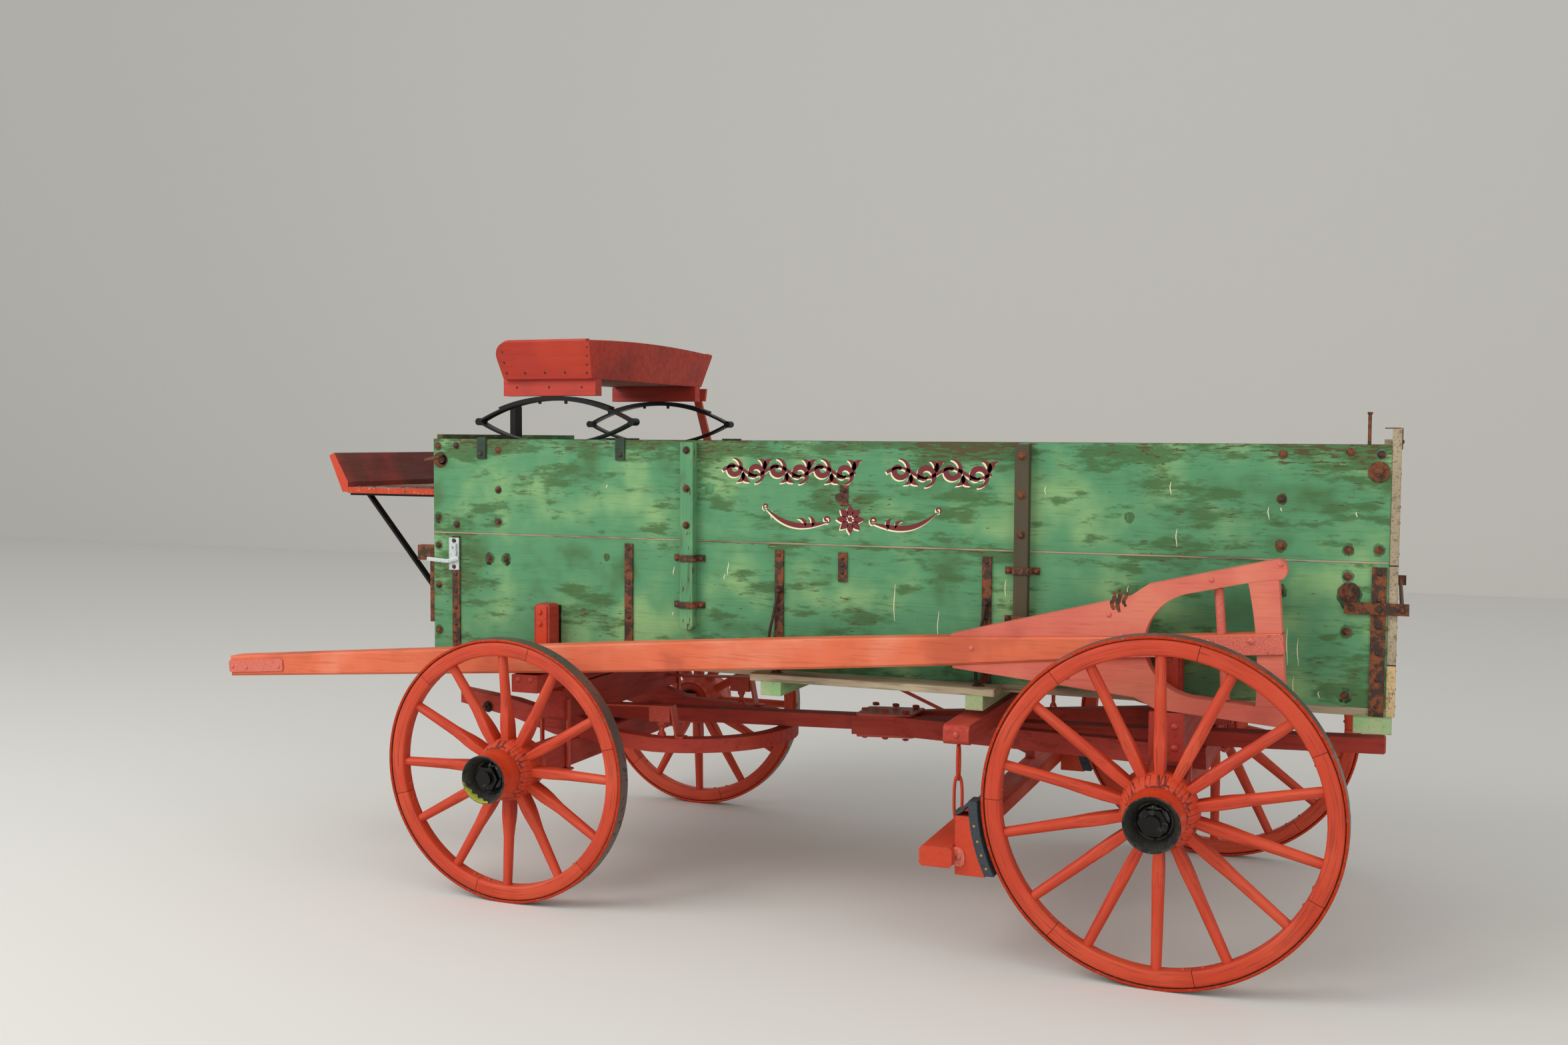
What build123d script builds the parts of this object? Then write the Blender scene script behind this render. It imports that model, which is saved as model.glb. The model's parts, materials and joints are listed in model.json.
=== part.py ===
"""Four-wheeled horse-drawn farm wagon with a plank box, a spring seat and a footboard.

Units are millimetres.  +Z is up, the wagon travels towards -X, and its left side is at -Y.
The origin lies on the ground under the middle of the wagon's overall length.
"""
import os
from math import atan, cos, hypot, radians, sin, tan

from build123d import *

os.makedirs("parts", exist_ok=True)

# Driving dimensions of the running gear
wheelbase = 2142
box_to_tread = 269
camber = 1.9
front_radius = 447
rear_radius = 510
tyre_width = 51
tyre_thick = 9
felloe_depth = 49
front_spokes = 12
rear_spokes = 14
hub_swell_front = 106
hub_swell_rear = 114
hub_back = 120
hub_front = 75
hub_back_radius = 78
band_seat = 28
nose_radius = 80
nose_reach = 138
dish = 28
arm_foot = 36
arm_end = 27
collar = 12
collar_radius = 52
running_fit = 0.4
spoke_foot_wide = 34
spoke_foot_deep = 58
spoke_waist = 33
spoke_round = 17.5
spoke_waist_at = 0.42

# Driving dimensions of the axles and bolsters
axle_width = 90
front_axle_rise = 43
rear_axle_rise = 53
axle_drop = 52
bolster_width = 100
bolster_overhang = 160
stake_height = 208
stake_width = 60
stake_thick = 65
body_gap = 6

# Driving dimensions of the box
box_front = -1235
box_length = 3200
box_width = 1000
board = 22
floor_top = 800
floor_thick = 23
lower_board = 420
upper_board = 333
seam = 0.6

# Driving dimensions of the stowed tongue: its rear end, its length, and its height at one place
tongue_past_axle = 314.145
pole_length = 3726
tongue_level_ahead = 790
tongue_level_z = 706
tongue_slope = 0.0765
tongue_thick = 78

# Places that follow from the sizes above
box_rear = box_front + box_length
box_half = box_width / 2
side_board_y = box_half - board
track = box_width + 2 * box_to_tread
bolster_half_length = box_half + bolster_overhang
tongue_outer_y = -bolster_half_length
floor_under = floor_top - floor_thick
seam_z = floor_top + lower_board
box_top = seam_z + upper_board
front_axle_x = box_front + 469
rear_axle_x = front_axle_x + wheelbase
tongue_angle = atan(tongue_slope)
tongue_tip_x = rear_axle_x + tongue_past_axle - pole_length * cos(tongue_angle)
lean = radians(camber)
front_hub_z = front_radius * cos(lean)
rear_hub_z = rear_radius * cos(lean)
front_hub_y = track / 2 + front_radius * sin(lean)
rear_hub_y = track / 2 + rear_radius * sin(lean)


def block(x0, x1, y0, y1, z0, z1, mode=Mode.ADD):
    """Put a box between two corners into the piece being built."""
    with Locations(((x0 + x1) / 2, (y0 + y1) / 2, (z0 + z1) / 2)):
        Box(abs(x1 - x0), abs(y1 - y0), abs(z1 - z0), mode=mode)


def side_plane(y):
    """Upright plane along the wagon: sketch x is X, sketch y is Z, extrusions go to -Y."""
    return Plane(origin=(0, y, 0), x_dir=(1, 0, 0), z_dir=(0, -1, 0))


def coned(radius, offset):
    """Radius of the tread at an offset outboard of the wheel's middle plane."""
    return radius - offset * tan(lean)


def make_tyre(radius):
    """Flat iron tyre, coned so that it stands flat on the ground under the leaning wheel."""
    half = tyre_width / 2
    inner = radius - tyre_thick
    with BuildPart() as tyre:
        with BuildSketch(Plane.XZ):
            with BuildLine():
                Polyline(
                    (coned(inner, -half), -half),
                    (coned(radius, -half), -half),
                    (coned(radius, half), half),
                    (coned(inner, half), half),
                    close=True,
                )
            make_face()
        revolve(axis=Axis.Z)
    return tyre.part


def make_wheel(radius, spokes, hub_swell):
    """Dished wooden wheel: felloes, turned spokes and a barrel-shaped hub with its bore."""
    half = tyre_width / 2
    outside = radius - tyre_thick
    inside = outside - felloe_depth
    edge = 9
    lip = 6
    band_step = 2
    with BuildPart() as wheel:
        with BuildSketch(Plane.XZ):
            with BuildLine():
                Polyline(
                    (coned(outside, -half), -half),
                    (coned(outside, half), half),
                    (inside + edge, half),
                    (inside, half - edge),
                    (inside, edge - half),
                    (inside + edge, -half),
                    close=True,
                )
            make_face()
        revolve(axis=Axis.Z)
        with BuildSketch(Plane.XZ):
            with BuildLine():
                Polyline(
                    (hub_back_radius + lip, band_seat - hub_back),
                    (hub_back_radius, band_seat - hub_back),
                    (hub_back_radius, -hub_back),
                    (0, -hub_back),
                    (0, hub_front),
                    (nose_radius - band_step, hub_front),
                    (nose_radius - band_step, hub_front - band_seat),
                    (nose_radius + lip, hub_front - band_seat),
                )
                ThreePointArc(
                    (nose_radius + lip, hub_front - band_seat),
                    (hub_swell, -dish),
                    (hub_back_radius + lip, band_seat - hub_back),
                )
            make_face()
        revolve(axis=Axis.Z)
        root = Vector(hub_swell - 16, 0, -dish)
        tip = Vector(inside + edge, 0, 0)
        along = (tip - root).normalized()
        length = (tip - root).length
        foot_plane = Plane(origin=root, x_dir=(0, 1, 0), z_dir=along)
        with BuildPart(mode=Mode.PRIVATE) as spoke:
            with BuildSketch(foot_plane):
                Rectangle(spoke_foot_wide, spoke_foot_deep)
            with BuildSketch(foot_plane.offset(length * spoke_waist_at)):
                Rectangle(spoke_waist, spoke_waist)
            loft()
            with BuildSketch(foot_plane):
                RegularPolygon(spoke_round, 8, rotation=22.5)
            extrude(amount=length)
        with PolarLocations(0, spokes, start_angle=90):
            add(spoke.part)
        with BuildSketch(Plane.XZ):
            with BuildLine():
                Polyline(
                    (0, -hub_back),
                    (arm_radius(-hub_back) + running_fit, -hub_back),
                    (arm_radius(hub_front) + running_fit, hub_front),
                    (0, hub_front),
                    close=True,
                )
            make_face()
        revolve(axis=Axis.Z, mode=Mode.SUBTRACT)
    return wheel.part


def arm_radius(offset):
    """Radius of the tapered axle arm at an offset outboard of the wheel's middle plane."""
    share = (offset + hub_back) / (nose_reach + hub_back)
    return arm_foot + (arm_end - arm_foot) * share


def make_hub_irons():
    """Iron bands at both ends of the hub; the front one carries the open nose."""
    band = 7
    nose_wall = 9
    with BuildPart() as irons:
        with BuildSketch(Plane.XZ):
            with BuildLine():
                Polyline(
                    (hub_back_radius, -hub_back - 3),
                    (hub_back_radius + band, -hub_back - 3),
                    (hub_back_radius + band, band_seat - hub_back),
                    (hub_back_radius, band_seat - hub_back),
                    close=True,
                )
            make_face()
        revolve(axis=Axis.Z)
        with BuildSketch(Plane.XZ):
            with BuildLine():
                Polyline(
                    (nose_radius - 2, hub_front - band_seat),
                    (nose_radius + 5, hub_front - band_seat),
                    (nose_radius + 5, hub_front),
                    (nose_radius, hub_front + 14),
                    (nose_radius - 4, nose_reach),
                    (nose_radius - 4 - nose_wall, nose_reach),
                    (nose_radius - 4 - nose_wall, hub_front),
                    (nose_radius - 2, hub_front),
                    close=True,
                )
            make_face()
        revolve(axis=Axis.Z)
    return irons.part


def wheel_place(x, y, z, side):
    """Frame of a wheel: its z axis points outboard and slightly down; side is -1 for left."""
    return Location(
        Plane(
            origin=(x, side * y, z),
            x_dir=(-side, 0, 0),
            z_dir=(0, side * cos(lean), -sin(lean)),
        )
    )


# Wheels
wheel_kinds = [
    # axle, x, hub y, hub z, radius, spokes, hub swell
    ("front", front_axle_x, front_hub_y, front_hub_z, front_radius, front_spokes, hub_swell_front),
    ("rear", rear_axle_x, rear_hub_y, rear_hub_z, rear_radius, rear_spokes, hub_swell_rear),
]
for axle, x, y, z, radius, spokes, swell in wheel_kinds:
    tyre_shape = make_tyre(radius)
    wheel_shape = make_wheel(radius, spokes, swell)
    irons_shape = make_hub_irons()
    for side_name, side in (("left", -1), ("right", 1)):
        place = wheel_place(x, y, z, side)
        with BuildPart() as tyre:
            with Locations(place):
                add(tyre_shape)
        with BuildPart() as wheel:
            with Locations(place):
                add(wheel_shape)
        with BuildPart() as hub_irons:
            with Locations(place):
                add(irons_shape)
        tyre.part.label = f"tyre_{axle}_{side_name}"
        wheel.part.label = f"wheel_{axle}_{side_name}"
        hub_irons.part.label = f"hub_irons_{axle}_{side_name}"
        export_step(tyre.part, f"parts/tyre_{axle}_{side_name}.step")
        export_step(wheel.part, f"parts/wheel_{axle}_{side_name}.step")
        export_step(hub_irons.part, f"parts/hub_irons_{axle}_{side_name}.step")


# Axles: a wooden beam, with an iron arm and nut at each end
skein_start = -(hub_back + 8 + collar)


def make_skeins(x, hub_y, hub_z):
    """The two iron axle arms, each with a collar inboard and a hexagon nut outboard."""
    nut_start = nose_reach - 45
    nut_thick = 24
    nut_radius = 42
    with BuildPart() as one_arm:
        with BuildSketch(Plane.XZ):
            with BuildLine():
                Polyline(
                    (0, skein_start),
                    (collar_radius, skein_start),
                    (collar_radius, skein_start + collar),
                    (arm_radius(-hub_back), skein_start + collar),
                    (arm_radius(nut_start), nut_start),
                    (arm_end - 4, nut_start),
                    (arm_end - 4, nut_start + nut_thick + 12),
                    (0, nut_start + nut_thick + 12),
                    close=True,
                )
            make_face()
        revolve(axis=Axis.Z)
        with BuildSketch(Plane.XY.offset(nut_start)):
            RegularPolygon(nut_radius, 6)
        extrude(amount=nut_thick)
    with BuildPart() as skeins:
        with Locations(wheel_place(x, hub_y, hub_z, -1), wheel_place(x, hub_y, hub_z, 1)):
            add(one_arm.part)
    return skeins


def make_axle_beam(x, hub_y, hub_z, rise):
    """Wooden axle between the two collars, its ends square to the drooping arms."""
    end_y = hub_y + skein_start * cos(lean)
    end_z = hub_z - skein_start * sin(lean)
    top = hub_z + rise
    bottom = hub_z - axle_drop
    top_y = end_y + (top - end_z) * tan(lean)
    bottom_y = end_y + (bottom - end_z) * tan(lean)
    with BuildPart() as beam:
        with BuildSketch(Plane.YZ.offset(x)):
            with BuildLine():
                Polyline(
                    (-top_y, top),
                    (top_y, top),
                    (bottom_y, bottom),
                    (-bottom_y, bottom),
                    close=True,
                )
            make_face()
        extrude(amount=axle_width / 2, both=True)
        chamfer(beam.edges().filter_by(Axis.Y), length=6)
    return beam


king_radius = 12
king_fit = 0.3
front_axle_top = front_hub_z + front_axle_rise
rear_axle_top = rear_hub_z + rear_axle_rise

front_axle = make_axle_beam(front_axle_x, front_hub_y, front_hub_z, front_axle_rise)
with front_axle:
    with Locations((front_axle_x, 0, front_hub_z)):
        Cylinder(king_radius + running_fit, axle_width * 4, mode=Mode.SUBTRACT)
front_axle.part.label = "front_axle"
export_step(front_axle.part, "parts/front_axle.step")

rear_axle = make_axle_beam(rear_axle_x, rear_hub_y, rear_hub_z, rear_axle_rise)
rear_axle.part.label = "rear_axle"
export_step(rear_axle.part, "parts/rear_axle.step")

front_arms = make_skeins(front_axle_x, front_hub_y, front_hub_z)
front_arms.part.label = "front_axle_arms"
export_step(front_arms.part, "parts/front_axle_arms.step")

rear_arms = make_skeins(rear_axle_x, rear_hub_y, rear_hub_z)
rear_arms.part.label = "rear_axle_arms"
export_step(rear_arms.part, "parts/rear_axle_arms.step")

# Bent front hounds: one steamed piece whose tips take the tongue and whose bow runs under the reach
hound_seat = 75
hound_thick = 52
tip_half = 300
tip_x = box_front - 5
tip_bolt_rise = 108
hound_blank = 300
hound_under = 100
bow_half = 400
bow_rear_x = box_front + 1190
bow_middle_x = bow_rear_x - bow_half
tip_bolt_x = tip_x + 30
tip_bolt_radius = 11
seat_half = bolster_width / 2
tip_bolt_z = front_axle_top + tip_bolt_rise
with BuildPart() as front_hounds:
    with BuildSketch(Plane.XY.offset(front_axle_top - hound_under)):
        with BuildLine():
            Line((tip_x, -tip_half - hound_thick / 2), (bow_middle_x, -bow_half))
            ThreePointArc((bow_middle_x, -bow_half), (bow_rear_x, 0), (bow_middle_x, bow_half))
            Polyline(
                (bow_middle_x, bow_half),
                (tip_x, tip_half + hound_thick / 2),
                (tip_x, tip_half - hound_thick / 2),
                (bow_middle_x, bow_half - hound_thick),
            )
            ThreePointArc(
                (bow_middle_x, bow_half - hound_thick),
                (bow_rear_x - hound_thick, 0),
                (bow_middle_x, hound_thick - bow_half),
            )
            Polyline(
                (bow_middle_x, hound_thick - bow_half),
                (tip_x, hound_thick / 2 - tip_half),
                (tip_x, -tip_half - hound_thick / 2),
            )
        make_face()
    extrude(amount=hound_blank)
    with BuildSketch(side_plane(0)):
        with BuildLine():
            Polyline(
                (tip_x, front_axle_top + 82),
                (front_axle_x - 234, front_axle_top + 46),
                (front_axle_x - seat_half, front_axle_top),
                (front_axle_x + seat_half, front_axle_top),
                (front_axle_x + 151, front_axle_top - 15),
                (front_axle_x + 351, front_axle_top - 24),
                (bow_rear_x, front_axle_top - 27),
                (bow_rear_x, front_axle_top + 22),
                (front_axle_x + 351, front_axle_top + 26),
                (front_axle_x + 151, front_axle_top + 38),
                (front_axle_x + seat_half, front_axle_top + hound_seat),
                (front_axle_x - seat_half, front_axle_top + hound_seat),
                (front_axle_x - 234, front_axle_top + 112),
                (tip_x, front_axle_top + 134),
                close=True,
            )
        make_face()
    extrude(amount=bow_half + 50, both=True, mode=Mode.INTERSECT)
    with Locations(Plane(origin=(tip_bolt_x, 0, tip_bolt_z), z_dir=(0, 1, 0))):
        Cylinder(tip_bolt_radius, 2 * bow_half, mode=Mode.SUBTRACT)
front_hounds.part.label = "front_hounds"
export_step(front_hounds.part, "parts/front_hounds.step")

# Sand board on the hounds, under the front bolster
sand_bottom = front_axle_top + hound_seat
bolster_bottom = floor_under - 87
sand_top = bolster_bottom - body_gap
sand_half = box_half - 20
with BuildPart() as sand_board:
    block(
        front_axle_x - seat_half + 2,
        front_axle_x + seat_half - 2,
        -sand_half,
        sand_half,
        sand_bottom,
        sand_top,
    )
    chamfer(sand_board.edges().filter_by(Axis.X), length=14)
    with Locations((front_axle_x, 0, (sand_bottom + sand_top) / 2)):
        Cylinder(king_radius + running_fit, 300, mode=Mode.SUBTRACT)
sand_board.part.label = "sand_board"
export_step(sand_board.part, "parts/sand_board.step")

# Bolsters with their stakes; the front one turns on the sand board
pole_half = 48


def tongue_axis_z(x):
    """Height of the middle of the stowed pole at a place along the wagon."""
    return tongue_level_z + tongue_slope * (x - box_front + tongue_level_ahead)


step_inner = -tongue_outer_y - tongue_thick - 4
front_step_z = tongue_axis_z(front_axle_x - seat_half) - pole_half * hypot(1, tongue_slope) - 0.3
stake_set_back = 16
stake_inner = box_half + 5


def make_bolster(x, bottom, stake_x):
    """Bolster block with an upright stake beside each side of the box."""
    with BuildPart() as bolster:
        block(
            x - seat_half, x + seat_half, -bolster_half_length, bolster_half_length, bottom, floor_under
        )
        for side in (-1, 1):
            block(
                stake_x - stake_width / 2,
                stake_x + stake_width / 2,
                side * stake_inner,
                side * (stake_inner + stake_thick),
                floor_under,
                floor_under + stake_height,
            )
        stake_tops = bolster.faces().sort_by(Axis.Z)[-2:]
        chamfer(stake_tops.edges(), length=8)
    return bolster


front_bolster = make_bolster(front_axle_x, bolster_bottom, front_axle_x + stake_set_back)
with front_bolster:
    for side in (-1, 1):
        block(
            front_axle_x - seat_half,
            front_axle_x + seat_half,
            side * step_inner,
            side * bolster_half_length,
            front_step_z,
            floor_under,
            mode=Mode.SUBTRACT,
        )
    with Locations((front_axle_x, 0, floor_under)):
        Cylinder(king_radius + king_fit, 400, mode=Mode.SUBTRACT)
        Cylinder(2 * king_radius + 1, 40, mode=Mode.SUBTRACT)
front_bolster.part.label = "front_bolster"
export_step(front_bolster.part, "parts/front_bolster.step")

with BuildPart() as king_bolt:
    with Locations((front_axle_x, 0, front_hub_z - axle_drop - body_gap)):
        Cylinder(
            king_radius,
            floor_under - 12 - front_hub_z + axle_drop + body_gap,
            align=(Align.CENTER, Align.CENTER, Align.MIN),
        )
        Cylinder(2 * king_radius, 18, align=(Align.CENTER, Align.CENTER, Align.MAX))
    with Locations((front_axle_x, 0, floor_under - 12)):
        Cylinder(2 * king_radius, 8, align=(Align.CENTER, Align.CENTER, Align.MAX))
king_bolt.part.label = "king_bolt"
export_step(king_bolt.part, "parts/king_bolt.step")

# Reach: the long pole that joins the two axles
reach_half = 35
reach_height = 50
reach_front_x = front_axle_x - 70
reach_rear_x = box_rear + 5
reach_front_z = front_axle_top + 10
reach_slope = (rear_axle_top - reach_front_z) / (rear_axle_x - axle_width / 2 - front_axle_x)


def reach_under(x):
    """Height of the reach's underside at a place along the wagon."""
    return reach_front_z + reach_slope * (x - front_axle_x)


with BuildPart() as reach:
    with BuildSketch(side_plane(0)):
        with BuildLine():
            Polyline(
                (reach_front_x, reach_under(reach_front_x)),
                (reach_rear_x, reach_under(reach_rear_x)),
                (reach_rear_x, reach_under(reach_rear_x) + reach_height),
                (reach_front_x, reach_under(reach_front_x) + reach_height),
                close=True,
            )
        make_face()
    extrude(amount=reach_half, both=True)
    chamfer(reach.faces().sort_by(Axis.X)[-1].edges(), length=5)
    with Locations((front_axle_x, 0, reach_front_z)):
        Cylinder(king_radius + king_fit, 300, mode=Mode.SUBTRACT)
reach.part.label = "reach"
export_step(reach.part, "parts/reach.step")

# Rear hounds: two braces from the reach out to the rear axle
rear_hound_x = box_front + 1450
rear_hound_height = 66
rear_hound_z = reach_under(rear_hound_x) - 9
rear_hound_slope = (rear_axle_top - rear_hound_z) / (rear_axle_x - axle_width / 2 - rear_hound_x)
rear_hound_angle = atan(rear_hound_slope)
rear_hound_plane = Plane(
    origin=(rear_hound_x, 0, rear_hound_z),
    x_dir=(1, 0, rear_hound_slope),
    z_dir=(-rear_hound_slope, 0, 1),
)
rear_hound_length = (rear_axle_x + axle_width / 2 + 45 - rear_hound_x) / cos(rear_hound_angle)
clamp_inner = reach_half + 0.3
clamp_length = 170
rear_hound_width = 46
rear_hound_spread = 375
with BuildPart() as rear_hounds:
    with BuildSketch(rear_hound_plane):
        with BuildLine():
            Polyline(
                (0, clamp_inner),
                (clamp_length, clamp_inner),
                (rear_hound_length, rear_hound_spread),
                (rear_hound_length, rear_hound_spread + rear_hound_width + 4),
                (clamp_length - 15, clamp_inner + rear_hound_width),
                (0, clamp_inner + rear_hound_width),
                close=True,
            )
        make_face()
        mirror(about=Plane.XZ)
    extrude(amount=rear_hound_height)
rear_hounds.part.label = "rear_hounds"
export_step(rear_hounds.part, "parts/rear_hounds.step")

with BuildPart() as clamp_plates:
    plate_x = (15, 225)
    for level in (-8, rear_hound_height):
        with BuildSketch(rear_hound_plane.offset(level)):
            with Locations(((plate_x[0] + plate_x[1]) / 2, 0)):
                RectangleRounded(plate_x[1] - plate_x[0], 2 * (clamp_inner + rear_hound_width), 12)
        extrude(amount=8)
clamp_plates.part.label = "reach_plates"
export_step(clamp_plates.part, "parts/reach_plates.step")

rear_bolster_bottom = (
    rear_axle_top + rear_hound_slope * (bolster_width / 2 + axle_width / 2) + rear_hound_height + 0.6
)
rear_bolster = make_bolster(rear_axle_x, rear_bolster_bottom, rear_axle_x)

# Tongue, stowed on its side along the left of the wagon
tongue_tip_z = tongue_axis_z(tongue_tip_x)
tongue_plane = Plane(
    origin=(tongue_tip_x, tongue_outer_y + tongue_thick, tongue_tip_z),
    x_dir=(1, 0, tongue_slope),
    z_dir=(0, -1, 0),
)
pole_tip_half = 37
pole_rear_half = 30
pole_taper_s = pole_length - 1426
arm_start = pole_length - 962
arm_root_half = 52
arm_brow_s = pole_length - 420
arm_brow_half = 147
arm_waist = pole_length - 380
arm_shoulder = pole_length - 362
arm_shoulder_half = 182
arm_bend_s = pole_length - 334
arm_bend_half = 110
arm_end_s = pole_length + 4
arm_end_half = 240
hound_inset = 8
post_start = pole_length - 82
post_width = 84
arm_inner_half = 176
arm_inner_flare = 0.065
crook_s = pole_length - 256
crook_half = 150
with BuildPart() as tongue_pole:
    with BuildSketch(tongue_plane):
        with BuildLine():
            Polyline(
                (0, -pole_tip_half),
                (900, -pole_half + 5),
                (1550, -pole_half),
                (pole_taper_s, -pole_half),
                (arm_start, -pole_half + 4),
                (arm_waist, -pole_rear_half),
                (pole_length, -pole_rear_half),
                (pole_length, pole_rear_half),
                (arm_waist, pole_rear_half),
                (arm_start, pole_half - 4),
                (pole_taper_s, pole_half),
                (1550, pole_half),
                (900, pole_half - 5),
                (0, pole_tip_half),
                close=True,
            )
        make_face()
    extrude(amount=tongue_thick)
    chamfer(tongue_pole.faces().sort_by(Axis.Y)[0].edges(), length=7)
tongue_pole.part.label = "tongue_pole"
export_step(tongue_pole.part, "parts/tongue_pole.step")

with BuildPart() as tongue_hounds:
    with BuildSketch(tongue_plane.offset(hound_inset)):
        with BuildLine():
            Line((arm_start, pole_half - 3.7), (arm_waist, pole_rear_half + 0.4))
            ThreePointArc(
                (arm_waist, pole_rear_half + 0.4), (arm_bend_s, arm_bend_half), (crook_s, crook_half)
            )
            tail_half = arm_inner_half + arm_inner_flare * (arm_end_s + 6 - post_start)
            Polyline((crook_s, crook_half), (post_start, arm_inner_half), (arm_end_s + 6, tail_half))
            ThreePointArc(
                (arm_end_s + 6, tail_half), (arm_end_s + 22, tail_half + 32), (arm_end_s, arm_end_half)
            )
            Polyline(
                (arm_end_s, arm_end_half),
                (arm_shoulder, arm_shoulder_half),
                (arm_brow_s, arm_brow_half),
                (arm_start, arm_root_half),
                (arm_start, pole_half - 3.7),
            )
        make_face()
        mirror(about=Plane.XZ)
    extrude(amount=tongue_thick - 2 * hound_inset)
tongue_hounds.part.label = "tongue_hounds"
export_step(tongue_hounds.part, "parts/tongue_hounds.step")

# Cross post between the hounds' ends, notched over the pole, and the round rod ahead of it
post_half = arm_inner_half - 0.3
post_flare = arm_inner_flare * post_width
with BuildPart() as tongue_post:
    with BuildSketch(tongue_plane.offset(hound_inset)):
        with BuildLine():
            Polyline(
                (post_start, -post_half),
                (post_start + post_width, -post_half - post_flare),
                (post_start + post_width, post_half + post_flare),
                (post_start, post_half),
            )
            ThreePointArc((post_start, post_half), (post_start + 12, 0), (post_start, -post_half))
        make_face()
        with Locations((pole_length, 0)):
            Rectangle(2 * (pole_length - post_start + 12), 2 * pole_rear_half + 0.6, mode=Mode.SUBTRACT)
    extrude(amount=tongue_thick - 2 * hound_inset)
tongue_post.part.label = "tongue_post"
export_step(tongue_post.part, "parts/tongue_post.step")

# The lower arm of the tongue lies in a step in the end of the rear bolster
arm_spread = (arm_end_half - arm_shoulder_half) / (arm_end_s - arm_shoulder)
arm_at_tip = arm_shoulder_half - arm_spread * arm_shoulder
step_run = rear_axle_x + seat_half - tongue_tip_x
step_s = (step_run - arm_at_tip * sin(tongue_angle)) / (
    cos(tongue_angle) + arm_spread * sin(tongue_angle)
)
step_arm_half = arm_at_tip + arm_spread * step_s
rear_step_z = tongue_tip_z + step_s * sin(tongue_angle) - step_arm_half * cos(tongue_angle) - 0.3
with rear_bolster:
    for side in (-1, 1):
        block(
            rear_axle_x - seat_half,
            rear_axle_x + seat_half,
            side * step_inner,
            side * bolster_half_length,
            rear_step_z,
            floor_under + 1,
            mode=Mode.SUBTRACT,
        )
rear_bolster.part.label = "rear_bolster"
export_step(rear_bolster.part, "parts/rear_bolster.step")

# Box floor and the sills under it
front_board_thick = 24
with BuildPart() as box_floor:
    planks = 6
    plank_width = box_width / planks
    for i in range(planks):
        block(
            box_front + front_board_thick,
            box_rear,
            -box_half + i * plank_width + (seam / 2 if i else 0),
            -box_half + (i + 1) * plank_width - (seam / 2 if i < planks - 1 else 0),
            floor_under,
            floor_top,
        )
box_floor.part.label = "box_floor"
export_step(box_floor.part, "parts/box_floor.step")

sill_height = 45
step_end = box_half + 110
step_front = 0.4 * box_length
step_rear = step_front + 810
rear_sill_inset = 85
sills = [
    # start after the box front, width, half length
    (0, 75, box_half),
    (step_front + 40, 70, step_end),
    (step_rear - 90, 55, step_end),
    (box_length - rear_sill_inset, 103, box_half + 30),
]
with BuildPart() as cross_sills:
    for start, width, half_length in sills:
        block(
            box_front + start,
            box_front + start + width,
            -half_length,
            half_length,
            floor_under - sill_height,
            floor_under,
        )
cross_sills.part.label = "cross_sills"
export_step(cross_sills.part, "parts/cross_sills.step")

# Step plank lying on the long ends of the middle sills
with BuildPart() as step_plank:
    block(
        box_front + step_front,
        box_front + step_rear,
        -step_end,
        -box_half - 10,
        floor_under,
        floor_top,
    )
    fillet(step_plank.edges().filter_by(Axis.Z), radius=6)
step_plank.part.label = "step_plank"
export_step(step_plank.part, "parts/step_plank.step")

# Box sides, each of two boards
rod_radius = 6
rods = [
    # place along the wagon, height
    (box_front + 40, floor_top + 678),
    (box_rear - 33, floor_top + 676),
    (box_rear - 104, floor_top + 330),
]


def make_side(side):
    """One side of the box: a lower and an upper board with holes for the cross rods."""
    inner = side * side_board_y
    outer = side * box_half
    with BuildPart() as boards:
        block(box_front, box_rear, inner, outer, floor_top, seam_z - seam / 2)
        block(box_front, box_rear, inner, outer, seam_z + seam / 2, box_top)
        for x, z in rods:
            with Locations(Plane(origin=(x, outer, z), z_dir=(0, 1, 0))):
                Cylinder(rod_radius + king_fit, 3 * board, mode=Mode.SUBTRACT)
    return boards


box_side_left = make_side(-1)
box_side_left.part.label = "box_side_left"
export_step(box_side_left.part, "parts/box_side_left.step")

box_side_right = make_side(1)
box_side_right.part.label = "box_side_right"
export_step(box_side_right.part, "parts/box_side_right.step")

with BuildPart() as cross_rods:
    washer = 18
    for x, z in rods:
        with Locations(Plane(origin=(x, 0, z), z_dir=(0, 1, 0))):
            Cylinder(rod_radius, box_width + 24)
            for side in (-1, 1):
                with Locations((0, 0, side * (box_half + 2))):
                    Cylinder(washer, 4)
                with Locations((0, 0, side * (box_half + 9))):
                    Cylinder(rod_radius * 2, 10)
cross_rods.part.label = "cross_rods"
export_step(cross_rods.part, "parts/cross_rods.step")

# Front end board with the dark post, and the rear gate with its cleats
front_board_top = box_top + 16
with BuildPart() as front_board:
    block(
        box_front,
        box_front + front_board_thick,
        -side_board_y + 0.3,
        side_board_y - 0.3,
        floor_under,
        seam_z - seam / 2,
    )
    block(
        box_front,
        box_front + front_board_thick,
        -side_board_y + 0.3,
        side_board_y - 0.3,
        seam_z + seam / 2,
        front_board_top,
    )
front_board.part.label = "front_board"
export_step(front_board.part, "parts/front_board.step")

with BuildPart() as front_post:
    block(
        box_front + front_board_thick,
        box_front + front_board_thick + 24,
        -24,
        24,
        front_board_top - 70,
        front_board_top + 112,
    )
    fillet(front_post.faces().sort_by(Axis.Z)[-1].edges().filter_by(Axis.X), radius=8)
front_post.part.label = "front_post"
export_step(front_post.part, "parts/front_post.step")

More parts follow.
